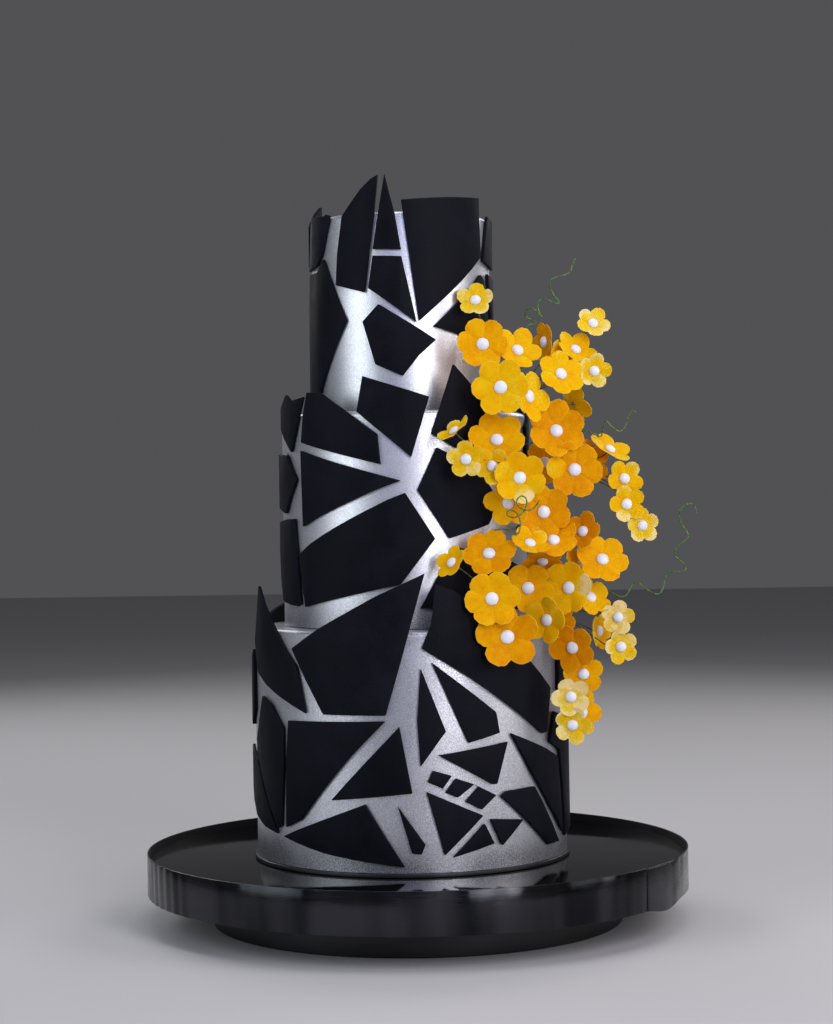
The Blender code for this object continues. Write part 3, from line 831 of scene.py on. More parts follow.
@dataclass
class Stand:
    """Low stand: a foot, a plate, and a metal strip round it that stands above the plate."""

    plate_top: float
    rim_top: float
    strip_bottom: float
    radius: float = 0.208
    strip_thickness: float = 0.0015
    foot_radius: float = 0.158
    sides: int = 360
    lap_start: float = 52.0
    lap_end: float = 68.0
    lap_drop: float = 0.0034
    lap_out: float = 0.0006
    creases: float = 100.0
    crease_middle: float = -68.0
    crease_reach: float = 19.0
    crease_out: float = 0.0012
    crease_lean: float = 60.0
    gap: float = 0.0003
    foot_edge: float = 0.0012
    plate_edge: float = 0.0008
    strip_edge: float = 0.0003
    lap_lower: float = 0.0006

    def build(self) -> None:
        """Build and dress the three parts of the stand."""
        self.foot()
        self.plate()
        self.strip()

    def foot(self) -> None:
        """The foot, in satin black."""
        top = self.strip_bottom - self.gap
        piece = disc("foot_disc", self.foot_radius, 0.0, top, 0.0, self.foot_edge, self.sides)
        dress(piece, GlossBlack("foot_satin_black", (0.42, 0.58)).material(), ["stand_foot"])

    def plate(self) -> None:
        """The plate, in gloss black."""
        inner = self.radius - self.strip_thickness - self.gap
        piece = disc("plate_disc", inner, self.strip_bottom, self.plate_top, 0.0, self.plate_edge, self.sides)
        dress(piece, GlossBlack("plate_gloss_black", (0.05, 0.13)).material(), ["stand_plate"])

    def shell(self, name: str, radius: float, bottom: float, top: float) -> bpy.types.Object:
        """An open ring with no thickness.

        Args:
            name: The object's name.
            radius: The ring's radius.
            bottom: Height of its lower edge.
            top: Height of its upper edge.

        Returns:
            The ring.
        """
        deselect()
        bpy.ops.mesh.primitive_cylinder_add(
            vertices=self.sides,
            radius=radius,
            depth=top - bottom,
            location=(0.0, 0.0, (top + bottom) / 2),
            end_fill_type="NOTHING",
        )
        obj = named(name)
        settle(obj)
        return obj

    def strip(self) -> None:
        """The strip, black inside, and the lap where its two ends meet."""
        metal = DarkFoil().material()
        inside = GlossBlack("strip_inside_black", (0.35, 0.55)).material()
        ring = self.shell("strip_ring", self.radius, self.strip_bottom, self.rim_top)
        for vertex in ring.data.vertices:
            angle = self.azimuth(vertex.co)
            near = max(1.0 - abs(angle - self.crease_middle) / self.crease_reach, 0.0)
            along = math.radians(angle) * self.creases + vertex.co.z * self.crease_lean
            wave = 0.5 + 0.5 * math.sin(along)
            vertex.co.xy *= 1.0 + self.crease_out * near * wave / self.radius
        self.thicken(ring)
        ring.data.materials.append(metal)
        ring.data.materials.append(inside)
        wall = self.radius - self.strip_thickness / 2
        for face in ring.data.polygons:
            inwards = face.normal.xy.dot(face.center.xy) < -0.1 * face.center.xy.length
            face.material_index = 1 if inwards and face.center.xy.length < wall else 0
        dress(ring, metal, ["stand_strip"])

        outer = self.radius + self.lap_out
        lap = self.shell("strip_lap", outer, self.strip_bottom, self.rim_top - self.lap_lower)
        pick(lap, Element.FACE, lambda place: not self.lap_start < self.azimuth(place) < self.lap_end)
        bpy.ops.mesh.delete(type="FACE")
        bpy.ops.object.mode_set(mode="OBJECT")
        for vertex in lap.data.vertices:
            along = (self.azimuth(vertex.co) - self.lap_start) / (self.lap_end - self.lap_start)
            if vertex.co.z < (self.rim_top + self.strip_bottom) / 2:
                vertex.co.z -= self.lap_drop * max(math.sin(math.pi * along), 0.0) ** 1.5
        self.thicken(lap)
        dress(lap, metal)

    def azimuth(self, place: Vector) -> float:
        """Direction of a point from the middle, in degrees from the front, plus to the right."""
        return math.degrees(math.atan2(place.x, -place.y))

    def thicken(self, shell: bpy.types.Object) -> None:
        """Give a shell its thickness, inwards, and eased edges."""
        finish_modifier(shell, "SOLIDIFY", thickness=self.strip_thickness, offset=-1.0)
        ease_edges(shell, self.strip_edge, 2, 50)
        smooth(shell)


# Cake


@dataclass
class Tier:
    """One silver tier with its black shards."""

    name: str
    radius: float
    height: float
    shift: float
    foot: float
    # Painted shade over the whole silver body, from 0 to 1.
    tier_shade: float
    back_copies: tuple[int, ...]
    side_outlines: tuple[Outline, ...]
    shard_outer: float = 0.003
    shard_sink: float = 0.0003
    arc_step: float = 0.005
    edge: float = 0.004
    sides: int = 192
    ease: float = 0.0006
    gap: float = 0.0006
    near: float = 0.001

    def build(self, nodes: dict[str, bpy.types.Object], black: bpy.types.Material) -> None:
        """Build and dress the tier.

        Args:
            nodes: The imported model's nodes by name.
            black: Material of the shards.
        """
        self.body()
        shards = sorted(name for name in nodes if name.startswith(self.name + "_shard_"))
        slabs = [self.slab(nodes[name], name + "_slab") for name in shards]
        back = self.back_slabs(slabs)
        for name, slab in zip(shards, slabs):
            dress(slab, black, [name])
        dress(back, black, [self.name + "_tier"])

    def body(self) -> None:
        """The silver body, with its upper edge rounded as rolled icing is."""
        top = self.foot + self.height
        deselect()
        bpy.ops.mesh.primitive_cylinder_add(
            vertices=self.sides,
            radius=self.radius,
            depth=self.height - self.gap,
            location=(self.shift, 0.0, self.foot + self.height / 2),
        )
        piece = named(self.name + "_icing")
        settle(piece)
        pick(piece, Element.EDGE, lambda place: self.on_rim(place, top))
        bpy.ops.mesh.bevel(offset=self.edge, segments=6)
        bpy.ops.object.mode_set(mode="OBJECT")
        smooth(piece, 40.0)
        silver = SilverIcing().material(self.name, self.foot, top, self.tier_shade)
        dress(piece, silver, [self.name + "_tier"])

    def on_rim(self, place: Vector, top: float) -> bool:
        """Whether a point is on the upper edge of the body."""
        off_axis = math.hypot(place.x - self.shift, place.y)
        return place.z > top - self.near and off_axis > self.radius - self.near

    def slab(self, node: bpy.types.Object, name: str) -> bpy.types.Object:
        """A shard with eased edges, from a copy of its solid.

        Args:
            node: The shard's node.
            name: The object's name.

        Returns:
            The shard.
        """
        obj = copy_solid(name, node)
        bpy.ops.mesh.dissolve_limited(angle_limit=math.radians(1.0))
        bpy.ops.object.mode_set(mode="OBJECT")
        ease_edges(obj, self.ease, 3, 30)
        smooth(obj, 30.0)
        return obj

    def back_slabs(self, slabs: list[bpy.types.Object]) -> bpy.types.Object:
        """The shards at the back and sides: copies of the front's, turned round the axis.

        Args:
            slabs: The front's shards in order.

        Returns:
            The copies, joined.
        """
        copies = []
        for index in self.back_copies:
            obj = place_new("back_slab", slabs[index].data.copy())
            axis = Matrix.Translation((self.shift, 0.0, 0.0))
            obj.matrix_world = axis @ Matrix.Rotation(math.pi, 4, "Z") @ axis.inverted()
            settle(obj)
            copies.append(obj)
        copies.extend(self.side_slab(outline) for outline in self.side_outlines)
        return join_all(self.name + "_back_slabs", copies)

    def side_slab(self, outline: Outline) -> bpy.types.Object:
        """A shard cut from a flat sheet along its outline, thickened and bent round the tier.

        Args:
            outline: Corners in clockwise order, as (arc from the front, height above the foot).

        Returns:
            The shard.
        """
        arcs, heights = zip(*outline)
        width, tall = max(arcs) - min(arcs), max(heights) - min(heights)
        middle = Vector((sum(arcs) / len(arcs), 0.0, sum(heights) / len(heights)))
        deselect()
        bpy.ops.mesh.primitive_grid_add(
            x_subdivisions=int(2 * width / self.arc_step),
            y_subdivisions=1,
            size=1.0,
            location=middle,
            rotation=(math.pi / 2, 0.0, 0.0),
        )
        obj = named("side_slab")
        obj.scale = (2.2 * width, 2.2 * tall, 1.0)
        settle(obj)
        for first, second in zip(outline, outline[1:] + outline[:1]):
            pick(obj, Element.VERTEX)
            across = (second[1] - first[1], 0.0, first[0] - second[0])
            bpy.ops.mesh.bisect(plane_co=(first[0], 0.0, first[1]), plane_no=across, clear_inner=True)
        bpy.ops.object.mode_set(mode="OBJECT")
        finish_modifier(obj, "SOLIDIFY", thickness=self.shard_outer + self.shard_sink, offset=1.0)
        ease_edges(obj, self.ease, 3, 30)
        outer = self.radius + self.shard_outer
        for vertex in obj.data.vertices:
            angle = vertex.co.x / outer
            out = self.radius - self.shard_sink + abs(vertex.co.y)
            across = out * math.sin(angle) + self.shift
            vertex.co = (across, -out * math.cos(angle), vertex.co.z + self.foot)
        smooth(obj, 30.0)
        return obj


# Flowers


class Tone(Enum):
    """Paint of a blossom, from pale to deep orange."""

    PALE = 0.12
    LEMON = 0.27
    YELLOW = 0.42
    AMBER = 0.58
    ORANGE = 0.76
    DEEP = 0.94


@dataclass(frozen=True)
class Blossom:
    """Place and paint of one blossom."""

    place: Point
    turn: float
    lift: float
    diameter: float
    petals: int
    tone: Tone
    pale_petal: int = -1
    wire_rise: float = 0.0

    def facing(self) -> Vector:
        """Unit vector of the blossom's face."""
        turn = math.radians(self.turn)
        lift = math.radians(self.lift)
        return Vector((math.sin(turn) * math.cos(lift), -math.cos(turn) * math.cos(lift), math.sin(lift)))

    def turned(self) -> Matrix:
        """Matrix that turns +Z to the blossom's face."""
        return self.facing().to_track_quat("Z", "Y").to_matrix().to_4x4()

    def matrix(self, model_radius: float, spin: float) -> Matrix:
        """Matrix that puts the model blossom in place.

        Args:
            model_radius: Radius of the model blossom.
            spin: Turn about its own axis, in radians.

        Returns:
            The matrix.
        """
        size = Matrix.Scale(self.diameter / 2 / model_radius, 4)
        return Matrix.Translation(self.place) @ self.turned() @ Matrix.Rotation(spin, 4, "Z") @ size


@dataclass
class BlossomModels:
    """Model blossoms, each made once: a sheet of paper cut in lobes, creased between them and cupped."""

    radius: float = 0.020
    paper: float = 0.0004
    steps_per_lobe: int = 14
    ring_widths: tuple[float, ...] = (0.03, 0.13, 0.18, 0.20, 0.18, 0.13)
    lobe_of_five: Range = (0.40, 0.43)
    lobe_of_six: Range = (0.385, 0.41)
    cup: Range = (0.10, 0.30)
    length: Range = (0.93, 1.0)
    curl: Range = (-0.07, 0.09)
    tilt: Range = (-0.07, 0.07)
    heart: float = 0.84
    ragged_wide: float = 0.010
    ragged_fine: float = 0.008
    crease_width: float = 0.16
    crease_depth: float = 0.035
    belly: float = 0.055
    ripple: float = 0.012
    seed: int = 7

    def build(self) -> dict[tuple[int, int], bpy.types.Object]:
        """Make the models.

        Returns:
            The models by number of petals and variant.
        """
        draw = random.Random(self.seed)
        models = {}
        for petals in (5, 6):
            for variant in range(VARIANTS):
                models[petals, variant] = self.blossom(petals, variant, draw)
        return models

    def sheet(self, name: str, petals: int) -> bpy.types.Object:
        """A flat round sheet in rings, with the same number of corners on every ring."""
        deselect()
        bpy.ops.mesh.primitive_circle_add(
            vertices=petals * self.steps_per_lobe, radius=self.radius, fill_type="NGON"
        )
        obj = named(name)
        pick(obj, Element.FACE)
        for width in self.ring_widths:
            bpy.ops.mesh.inset(thickness=width * self.radius)
        bpy.ops.mesh.poke()
        bpy.ops.object.mode_set(mode="OBJECT")
        return obj

    def blossom(self, petals: int, variant: int, draw: random.Random) -> bpy.types.Object:
        """A whole blossom without its eye.

        Args:
            petals: How many petals.
            variant: Number of the variant.
            draw: Source of the small differences.

        Returns:
            The blossom, its face towards +Z, with its petals numbered.
        """
        obj = self.sheet(f"blossom_{petals}_{variant}", petals)
        sector = 2 * math.pi / petals
        lobe = draw.uniform(*(self.lobe_of_five if petals == 5 else self.lobe_of_six))
        cup = draw.uniform(*self.cup)
        lengths = [draw.uniform(*self.length) for _ in range(petals)]
        curls = [draw.uniform(*self.curl) for _ in range(petals)]
        tilts = [draw.uniform(*self.tilt) for _ in range(petals)]
        phase = draw.uniform(0.0, 2 * math.pi)
        numbers, reaches = [], []
        for vertex in obj.data.vertices:
            share = vertex.co.xy.length / self.radius
            angle = math.atan2(vertex.co.x, vertex.co.y)
            number = round(angle / sector)
            off = angle - number * sector
            number %= petals
            side = 2 * off / sector
            bulge = math.cos(off * petals / 2) ** 2
            middle = 1.0 - lobe
            outline = middle * math.cos(off) + math.sqrt(lobe**2 - (middle * math.sin(off)) ** 2)
            outline *= 1.0 + (lengths[number] - 1.0) * bulge
            ragged = self.ragged_wide * math.sin(23 * angle + phase)
            ragged += self.ragged_fine * math.sin(41 * angle + 2 * phase)
            reach = share * (self.heart * (1.0 - share**2) + (outline + ragged) * share**2)
            crease = math.exp(-(((1.0 - abs(side)) / self.crease_width) ** 2))
            rise = cup * reach**1.6 + self.belly * bulge * share**2
            rise -= self.crease_depth * crease * share**1.5
            rise += (curls[number] * bulge * share + tilts[number] * side * (1.0 - side**2)) * share**2
            rise += self.ripple * math.sin(5 * angle + phase + 4 * share) * share
            out = reach * self.radius
            vertex.co = (out * math.sin(angle), out * math.cos(angle), rise * self.radius)
            numbers.append(number)
            reaches.append(share)
        obj.data.attributes.new("petal_number", "INT", "POINT").data.foreach_set("value", numbers)
        obj.data.attributes.new("reach", "FLOAT", "POINT").data.foreach_set("value", reaches)
        finish_modifier(obj, "SOLIDIFY", thickness=self.paper, offset=0.0)
        smooth(obj, 50.0)
        return obj


@dataclass
class Spray:
    """Blossoms on wires that meet in one knot at the icing."""

    name: str
    hub: Point
    launch: Point
    blossoms: tuple[Blossom, ...]
    wire: float = 0.0005
    knot: float = 0.0029
    stem_points: int = 12
    fade: float = 0.42
    small: float = 0.031
    large_fade: float = 0.15
    fade_start: float = 0.70
    tone_range: float = 0.07
    washed_start: float = 0.25
    washed_reach: float = 0.50
    washed_least: float = 0.04
    washed_step: float = 0.40
    eye_least: float = 0.0026
    eye_share: float = 0.052
    eye_rise: float = 0.0026
    eye_lift: float = 0.0008
    cup_radius: float = 0.0016
    cup_depth: float = 0.0026
    cup_behind: float = 0.0012
    leave_share: float = 0.45
    arrive_share: float = 0.25

    def build(
        self,
        models: dict[tuple[int, int], bpy.types.Object],
        model_radius: float,
        paints: dict[str, bpy.types.Material],
        seed: int,
    ) -> None:
        """Build and dress the spray.

        Args:
            models: The model blossoms.
            model_radius: Their radius.
            paints: Materials by part: petal, eye and wire.
            seed: Seed of the small differences.
        """
        draw = random.Random(seed)
        petals, eyes, wires = [], [], [self.knot_of_wires()]
        for index, blossom in enumerate(self.blossoms):
            variant = draw.randrange(VARIANTS)
            matrix = blossom.matrix(model_radius, draw.uniform(0.0, 2 * math.pi))
            petals.append(self.painted(blossom, models[blossom.petals, variant], matrix, draw))
            eyes.append(self.eye(blossom))
            wires.append(self.cup(blossom))
            wires.append(tube(f"{self.name}_stem_{index}", self.stem(blossom), self.wire, 1))
        dress(join_all(self.name + "_petals", petals), paints["petal"], [self.name])
        for part, pieces, degrees, slot in (("eye", eyes, 80.0, "petal"), ("wire", wires, 60.0, "tendril")):
            whole = join_all(f"{self.name}_{part}s", pieces)
            smooth(whole, degrees)
            dress(whole, paints[part], [self.name])

    def painted(
        self, blossom: Blossom, model: bpy.types.Object, matrix: Matrix, draw: random.Random
    ) -> bpy.types.Object:
        """A copy of a model blossom in its place, with the tone of each petal.

        Args:
            blossom: The blossom.
            model: Its model.
            matrix: Its place.
            draw: Source of the small differences.

        Returns:
            The blossom's petals.
        """
        mesh = model.data.copy()
        mesh.transform(matrix)
        count = len(mesh.vertices)
        number = np.zeros(count, np.int32)
        mesh.attributes["petal_number"].data.foreach_get("value", number)
        reach = np.zeros(count, np.float32)
        mesh.attributes["reach"].data.foreach_get("value", reach)
        more = self.tone_range
        tones = np.array([blossom.tone.value + draw.uniform(-more, more) for _ in range(blossom.petals)])
        fades = np.array([draw.uniform(0.0, self.fade) for _ in range(blossom.petals)])
        if blossom.diameter > self.small:
            fades *= self.large_fade
        towards_tip = np.clip((reach - self.fade_start) / (1.0 - self.fade_start), 0.0, 1.0)
        tone_here = tones[number] - fades[number] * towards_tip
        if blossom.pale_petal >= 0:
            washed = np.clip((reach - self.washed_start) / self.washed_reach, 0.0, 1.0)
            washed *= number == blossom.pale_petal % blossom.petals
            washed_tone = max(self.washed_least, blossom.tone.value - self.washed_step)
            tone_here += (washed_tone - tone_here) * washed
        colours = np.ones((count, 4), np.float32)
        colours[:, 0] = tone_here
        colours[:, 1] = np.clip(reach, 0.0, 1.0)
        colours[:, 2] = draw.random()
        tone = mesh.attributes.new("petal_tone", "FLOAT_COLOR", "POINT")
        tone.data.foreach_set("color", colours.ravel())
        return place_new("blossom", mesh)

    def eye(self, blossom: Blossom) -> bpy.types.Object:
        """The white dot in the middle of a blossom: a low dome, closed below."""
        radius = self.eye_least + blossom.diameter * self.eye_share
        deselect()
        bpy.ops.mesh.primitive_uv_sphere_add(segments=20, ring_count=10, radius=radius)
        obj = named("eye")
        pick(obj, Element.VERTEX, lambda place: place.z < -radius * 0.02)
        bpy.ops.transform.resize(value=(0.9, 0.9, 0.25), center_override=(0.0, 0.0, 0.0))
        bpy.ops.object.mode_set(mode="OBJECT")
        flat = Matrix.Diagonal((1.0, 1.0, self.eye_rise / radius, 1.0))
        lifted = Vector(blossom.place) + blossom.facing() * self.eye_lift
        obj.matrix_world = Matrix.Translation(lifted) @ blossom.turned() @ flat
        settle(obj)
        return obj

    def cup(self, blossom: Blossom) -> bpy.types.Object:
        """The tape that holds a blossom's back on its wire."""
        deselect()
        bpy.ops.mesh.primitive_cone_add(
            vertices=10, radius1=self.wire, radius2=self.cup_radius, depth=self.cup_depth
        )
        obj = named("cup")
        behind = Vector(blossom.place) - blossom.facing() * self.cup_behind
        obj.matrix_world = Matrix.Translation(behind) @ blossom.turned()
        settle(obj)
        return obj

    def knot_of_wires(self) -> bpy.types.Object:
        """The taped knot where the wires meet."""
        deselect()
        bpy.ops.mesh.primitive_uv_sphere_add(segments=12, ring_count=8, radius=self.knot, location=self.hub)
        obj = named("knot")
        settle(obj)
        return obj

    def stem(self, blossom: Blossom) -> list[Vector]:
        """Centre line of a blossom's wire, from the knot.

        Args:
            blossom: The blossom.

        Returns:
            The points of the wire.
        """
        hub, place = Vector(self.hub), Vector(blossom.place)
        reach = (place - hub).length
        start = (Vector(self.launch) + (place - hub).normalized()).normalized()
        leave = hub + start * reach * self.leave_share
        rise = Vector((0.0, 0.0, blossom.wire_rise))
        arrive = place - blossom.facing() * reach * self.arrive_share + rise
        points = []
        for index in range(self.stem_points):
            t = index / (self.stem_points - 1)
            back = 1 - t
            points.append(hub * back**3 + leave * 3 * t * back**2 + arrive * 3 * t**2 * back + place * t**3)
        return points


SPRAYS = (
    Spray("spray_top_left", (0.0563, -0.0527, 0.3920), (0.3, -0.5, 0.8), (
        Blossom((0.049, -0.058, 0.471), -10, 25, 0.029, 5, Tone.LEMON),
        Blossom((0.053, -0.085, 0.436), 0, 5, 0.040, 6, Tone.AMBER),
        Blossom((0.079, -0.072, 0.432), 20, 30, 0.038, 5, Tone.YELLOW),
        Blossom((0.065, -0.104, 0.403), -5, 0, 0.043, 6, Tone.YELLOW),
        Blossom((0.086, -0.088, 0.397), 50, 10, 0.042, 5, Tone.YELLOW),
    )),
    Spray("spray_top_right", (0.0700, -0.0310, 0.3920), (0.7, -0.3, 0.6), (
        Blossom((0.138, -0.040, 0.454), 15, 30, 0.028, 5, Tone.LEMON, 3),
        Blossom((0.101, -0.050, 0.440), -65, 0, 0.032, 5, Tone.ORANGE),
        Blossom((0.124, -0.045, 0.434), 30, 40, 0.034, 5, Tone.YELLOW),
        Blossom((0.114, -0.048, 0.428), 20, 30, 0.028, 5, Tone.YELLOW),
        Blossom((0.111, -0.072, 0.414), 20, 25, 0.037, 6, Tone.YELLOW),
        Blossom((0.137, -0.058, 0.417), 10, 0, 0.027, 5, Tone.LEMON, 1),
        Blossom((0.123, -0.035, 0.394), 120, 20, 0.036, 5, Tone.YELLOW, 2),
    )),
    Spray("spray_middle_left", (0.0735, -0.0545, 0.3400), (0.6, -0.8, 0.0), (
        Blossom((0.031, -0.111, 0.371), -60, 50, 0.028, 5, Tone.YELLOW),
        Blossom((0.062, -0.092, 0.365), 0, 30, 0.044, 6, Tone.AMBER),
        Blossom((0.039, -0.108, 0.351), -10, 0, 0.029, 5, Tone.LEMON, 3),
        Blossom((0.058, -0.102, 0.346), 0, 0, 0.028, 5, Tone.YELLOW),
        Blossom((0.078, -0.104, 0.337), 0, 0, 0.040, 6, Tone.YELLOW, 1),
        Blossom((0.070, -0.092, 0.319), -20, -10, 0.036, 5, Tone.AMBER),
    )),
    Spray("spray_middle_right", (0.0860, -0.0300, 0.3500), (0.9, -0.4, 0.1), (
        Blossom((0.107, -0.072, 0.372), 5, 15, 0.045, 6, Tone.ORANGE),
        Blossom((0.120, -0.075, 0.343), 5, 0, 0.044, 6, Tone.ORANGE, 2),
        Blossom((0.099, -0.058, 0.349), 0, 0, 0.034, 5, Tone.AMBER),
        Blossom((0.132, -0.050, 0.349), 20, 0, 0.036, 5, Tone.ORANGE),
        Blossom((0.148, -0.055, 0.358), 45, 50, 0.035, 5, Tone.YELLOW),
        Blossom((0.158, -0.062, 0.336), 10, 5, 0.029, 5, Tone.YELLOW),
        Blossom((0.159, -0.066, 0.317), 10, 0, 0.029, 5, Tone.YELLOW, 0, 0.022),
        Blossom((0.171, -0.060, 0.301), 15, -5, 0.027, 5, Tone.LEMON, -1, 0.030),
    )),
    Spray("spray_lower_left", (0.0640, -0.0810, 0.2315), (0.2, -0.6, 0.8), (
        Blossom((0.055, -0.100, 0.282), -5, 35, 0.041, 6, Tone.ORANGE),
        Blossom((0.028, -0.112, 0.276), -50, 30, 0.028, 5, Tone.AMBER),
        Blossom((0.056, -0.118, 0.250), 0, 0, 0.042, 6, Tone.AMBER),
        Blossom((0.084, -0.080, 0.256), 0, 0, 0.040, 5, Tone.AMBER),
        Blossom((0.067, -0.112, 0.222), 0, 5, 0.048, 5, Tone.ORANGE),
    )),
    Spray("spray_lower_middle", (0.0800, -0.0460, 0.3000), (0.8, -0.6, 0.0), (
        Blossom((0.096, -0.085, 0.312), 0, 0, 0.042, 6, Tone.ORANGE),
        Blossom((0.085, -0.098, 0.289), 20, 50, 0.031, 5, Tone.AMBER),
        Blossom((0.103, -0.088, 0.291), 0, 35, 0.037, 6, Tone.ORANGE),
        Blossom((0.095, -0.078, 0.276), 0, -50, 0.034, 5, Tone.ORANGE),
        Blossom((0.126, -0.072, 0.297), -30, 20, 0.031, 5, Tone.DEEP),
        Blossom((0.140, -0.070, 0.276), 10, 30, 0.041, 6, Tone.AMBER),
        Blossom((0.126, -0.062, 0.274), 10, 20, 0.028, 5, Tone.AMBER),
    )),
    Spray("spray_lower_right", (0.0925, -0.0560, 0.2322), (1.6, -0.9, 1.4), (
        Blossom((0.114, -0.085, 0.256), -30, 0, 0.042, 6, Tone.YELLOW, 5),
        Blossom((0.097, -0.096, 0.233), -35, 0, 0.036, 5, Tone.YELLOW),
        Blossom((0.107, -0.080, 0.233), -20, 0, 0.028, 5, Tone.AMBER),
        Blossom((0.131, -0.068, 0.248), 30, 30, 0.034, 5, Tone.YELLOW),
        Blossom((0.151, -0.070, 0.233), 0, 0, 0.027, 5, Tone.PALE),
        Blossom((0.138, -0.051, 0.222), 55, 0, 0.030, 5, Tone.AMBER),
        Blossom((0.116, -0.085, 0.212), -25, -10, 0.038, 5, Tone.DEEP),
        Blossom((0.153, -0.068, 0.211), 10, 0, 0.027, 5, Tone.LEMON, -1, -0.014),
        Blossom((0.124, -0.080, 0.192), 0, 0, 0.032, 5, Tone.AMBER),
        Blossom((0.114, -0.088, 0.176), 0, 0, 0.030, 5, Tone.PALE),
        Blossom((0.124, -0.062, 0.162), 40, 0, 0.034, 5, Tone.AMBER),
        Blossom((0.115, -0.086, 0.155), 0, -5, 0.029, 5, Tone.LEMON, 0),
    )),
)


@dataclass
class Tendril:
    """A curly wire, rounded from a copy of its solid."""

    name: str
    swell: float = 0.00012

    def build(self, node: bpy.types.Object, green: bpy.types.Material) -> None:
        """Build and dress the tendril.

        Args:
            node: The tendril's node.
            green: Its material.
        """
        obj = copy_solid(self.name + "_curl", node)
        bpy.ops.mesh.tris_convert_to_quads()
        bpy.ops.object.mode_set(mode="OBJECT")
        finish_modifier(obj, "SUBSURF", levels=2, render_levels=2)
        finish_modifier(obj, "DISPLACE", strength=self.swell, mid_level=0.0)
        smooth(obj, 60.0)
        dress(obj, green, [self.name])


# Studio


@dataclass
class Studio:
    """Pale floor, soft light and the photograph's camera."""

    focal_pixels: float = 2118.7
    image_height: float = 1024.0
    sensor: float = 36.0
    camera_place: Point = (0.0026, -1.6435, 0.310)
    camera_pitch: float = 0.0021
    camera_roll: float = -0.014
    floor_size: float = 14.0
    floor_colour: Colour = (0.56, 0.55, 0.57)
    room_colour: Colour = (0.60, 0.60, 0.64)
    room_light: float = 0.14
    aim: Point = (0.0, 0.0, 0.30)

    def build(self) -> None:
        """Make the camera, floor, world and lights."""
        self.camera()
        self.floor()
        self.world()
        self.softbox("left", (-1.45, -0.95, 0.85), (1.0, 1.5), 11.2, (0.90, 0.98, 1.0))
        self.softbox("front_right", (0.74, -1.42, 0.85), (0.5, 1.4), 13.8, (0.98, 0.97, 1.0))
        self.softbox("front", (-0.1, -2.3, 1.30), (1.6, 0.9), 5.4, (0.50, 0.55, 1.0))
        self.softbox("right", (1.45, -0.55, 0.80), (0.7, 1.3), 8.2, (1.0, 0.97, 0.96))
        self.softbox("top", (0.1, -0.1, 1.75), (1.2, 1.0), 8.0, (1.0, 1.0, 1.0))
        self.softbox("back_left", (-1.1, 1.6, 1.25), (1.2, 0.8), 10.0, (1.0, 1.0, 1.0))
        self.softbox("back_right", (1.2, 1.5, 1.25), (1.0, 0.8), 8.0, (1.0, 0.98, 0.97))
        bpy.context.scene.view_settings.view_transform = "Standard"

    def camera(self) -> None:
        """Make the camera and set it."""
        data = bpy.data.cameras.new("photo_camera")
        data.sensor_width = self.sensor
        data.lens = self.sensor * self.focal_pixels / self.image_height
        data.clip_end = 60.0
        camera = place_new("photo_camera", data)
        level = Matrix.Rotation(math.pi / 2 + self.camera_pitch, 4, "X")
        roll = Matrix.Rotation(self.camera_roll, 4, "Z")
        camera.matrix_world = Matrix.Translation(self.camera_place) @ level @ roll
        bpy.context.scene.camera = camera

    def floor(self) -> None:
        """Make the floor."""
        deselect()
        bpy.ops.mesh.primitive_plane_add(size=self.floor_size, location=(0.0, 0.0, 0.0))
        floor = named("floor")
        coat = Coat("pale_floor", specular=0.2)
        coat.colour(self.floor_colour)
        coat.rough(0.75)
        floor.data.materials.append(coat.material)

    def world(self) -> None:
        """Make the even light of the room."""
        world = bpy.data.worlds.new("room")
        world.use_nodes = True
        back = world.node_tree.nodes["Background"]
        back.inputs["Color"].default_value = (*self.room_colour, 1.0)
        back.inputs["Strength"].default_value = self.room_light
        bpy.context.scene.world = world

    def softbox(self, name: str, place: Point, size: Range, power: float, colour: Colour) -> None:
        """Add a soft light that faces the cake.

        Args:
            name: The light's name.
            place: Where it stands.
            size: Its width and height.
            power: Its power in watts.
            colour: Its colour.
        """
        light = bpy.data.lights.new(name, "AREA")
        light.shape = "RECTANGLE"
        light.size, light.size_y = size
        light.energy = power
        light.color = colour
        turn = (Vector(self.aim) - Vector(place)).to_track_quat("-Z", "Y").to_matrix().to_4x4()
        place_new(name, light).matrix_world = Matrix.Translation(place) @ turn


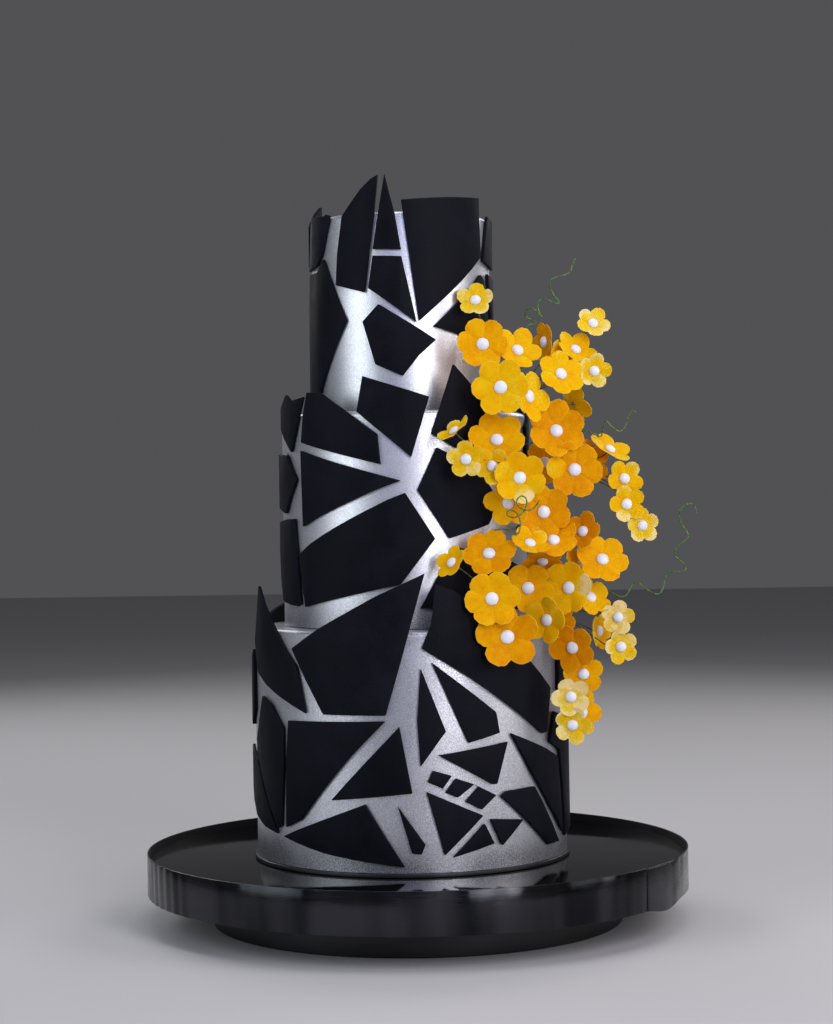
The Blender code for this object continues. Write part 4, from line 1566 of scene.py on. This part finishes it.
def main() -> None:
    """Build every sub-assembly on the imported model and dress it."""
    logging.basicConfig(level=logging.INFO, format="%(name)s %(message)s")
    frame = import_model()
    nodes = frame["nodes"]
    Stand(
        plate_top=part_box("stand_plate")[1].z,
        rim_top=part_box("stand_strip")[1].z,
        strip_bottom=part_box("stand_strip")[0].z,
    ).build()
    low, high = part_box("cake_card")
    card = disc("card_disc", (high.x - low.x) / 2, low.z, high.z, (low.x + high.x) / 2, 0.0006, 192)
    dress(card, CoveredCard().material(), ["cake_card"])

    black = BlackSugar().material()
    # Each tier's silver carries painted shade over the whole tier: most on the bottom tier, none on the top.
    tiers = (
        Tier(
            name="bottom", radius=0.1195, height=0.1745, shift=-0.0040, foot=high.z, tier_shade=0.30,
            back_copies=(0, 1, 2, 3, 4, 5, 6, 7, 9, 11, 18),
            side_outlines=(
                ((0.140, 0.166), (0.176, 0.186), (0.200, 0.150), (0.184, 0.118), (0.142, 0.124)),
                ((0.490, 0.194), (0.536, 0.180), (0.566, 0.150), (0.545, 0.118), (0.520, 0.134),
                 (0.494, 0.156)),
                ((0.572, 0.142), (0.604, 0.158), (0.606, 0.112), (0.590, 0.098), (0.560, 0.104)),
            ),
        ),
        Tier(
            name="middle", radius=0.0940, height=0.1610, shift=-0.0065, foot=high.z + 0.1745, tier_shade=0.08,
            back_copies=(0, 1, 2, 3, 4, 5, 6, 7, 9),
            side_outlines=(((0.127, 0.150), (0.152, 0.162), (0.148, 0.108), (0.130, 0.100)),),
        ),
        Tier(
            name="top", radius=0.0685, height=0.1495, shift=-0.0070, foot=high.z + 0.3355, tier_shade=0.0,
            back_copies=(1, 2, 3, 4, 5, 6, 7, 9),
            side_outlines=(((0.306, 0.166), (0.330, 0.150), (0.334, 0.116), (0.306, 0.112)),),
        ),
    )
    for tier in tiers:
        tier.build(nodes, black)

    makers = BlossomModels()
    models = makers.build()
    paints = {
        "petal": WaferPetal().material(),
        "eye": IcingDot().material(),
        "wire": CoveredWire("olive_wire_tape", (0.110, 0.120, 0.030), (0.030, 0.036, 0.012)).material(),
    }
    for seed, spray in enumerate(SPRAYS):
        spray.build(models, makers.radius, paints, seed + 3)
    for model in models.values():
        bpy.data.objects.remove(model, do_unlink=True)
    green = CoveredWire("green_wire_tape", (0.095, 0.205, 0.018), (0.026, 0.075, 0.008)).material()
    for name in sorted(nodes):
        if name.startswith("tendril_"):
            Tendril(name).build(nodes[name], green)

    Studio().build()


if __name__ == "__main__":
    main()
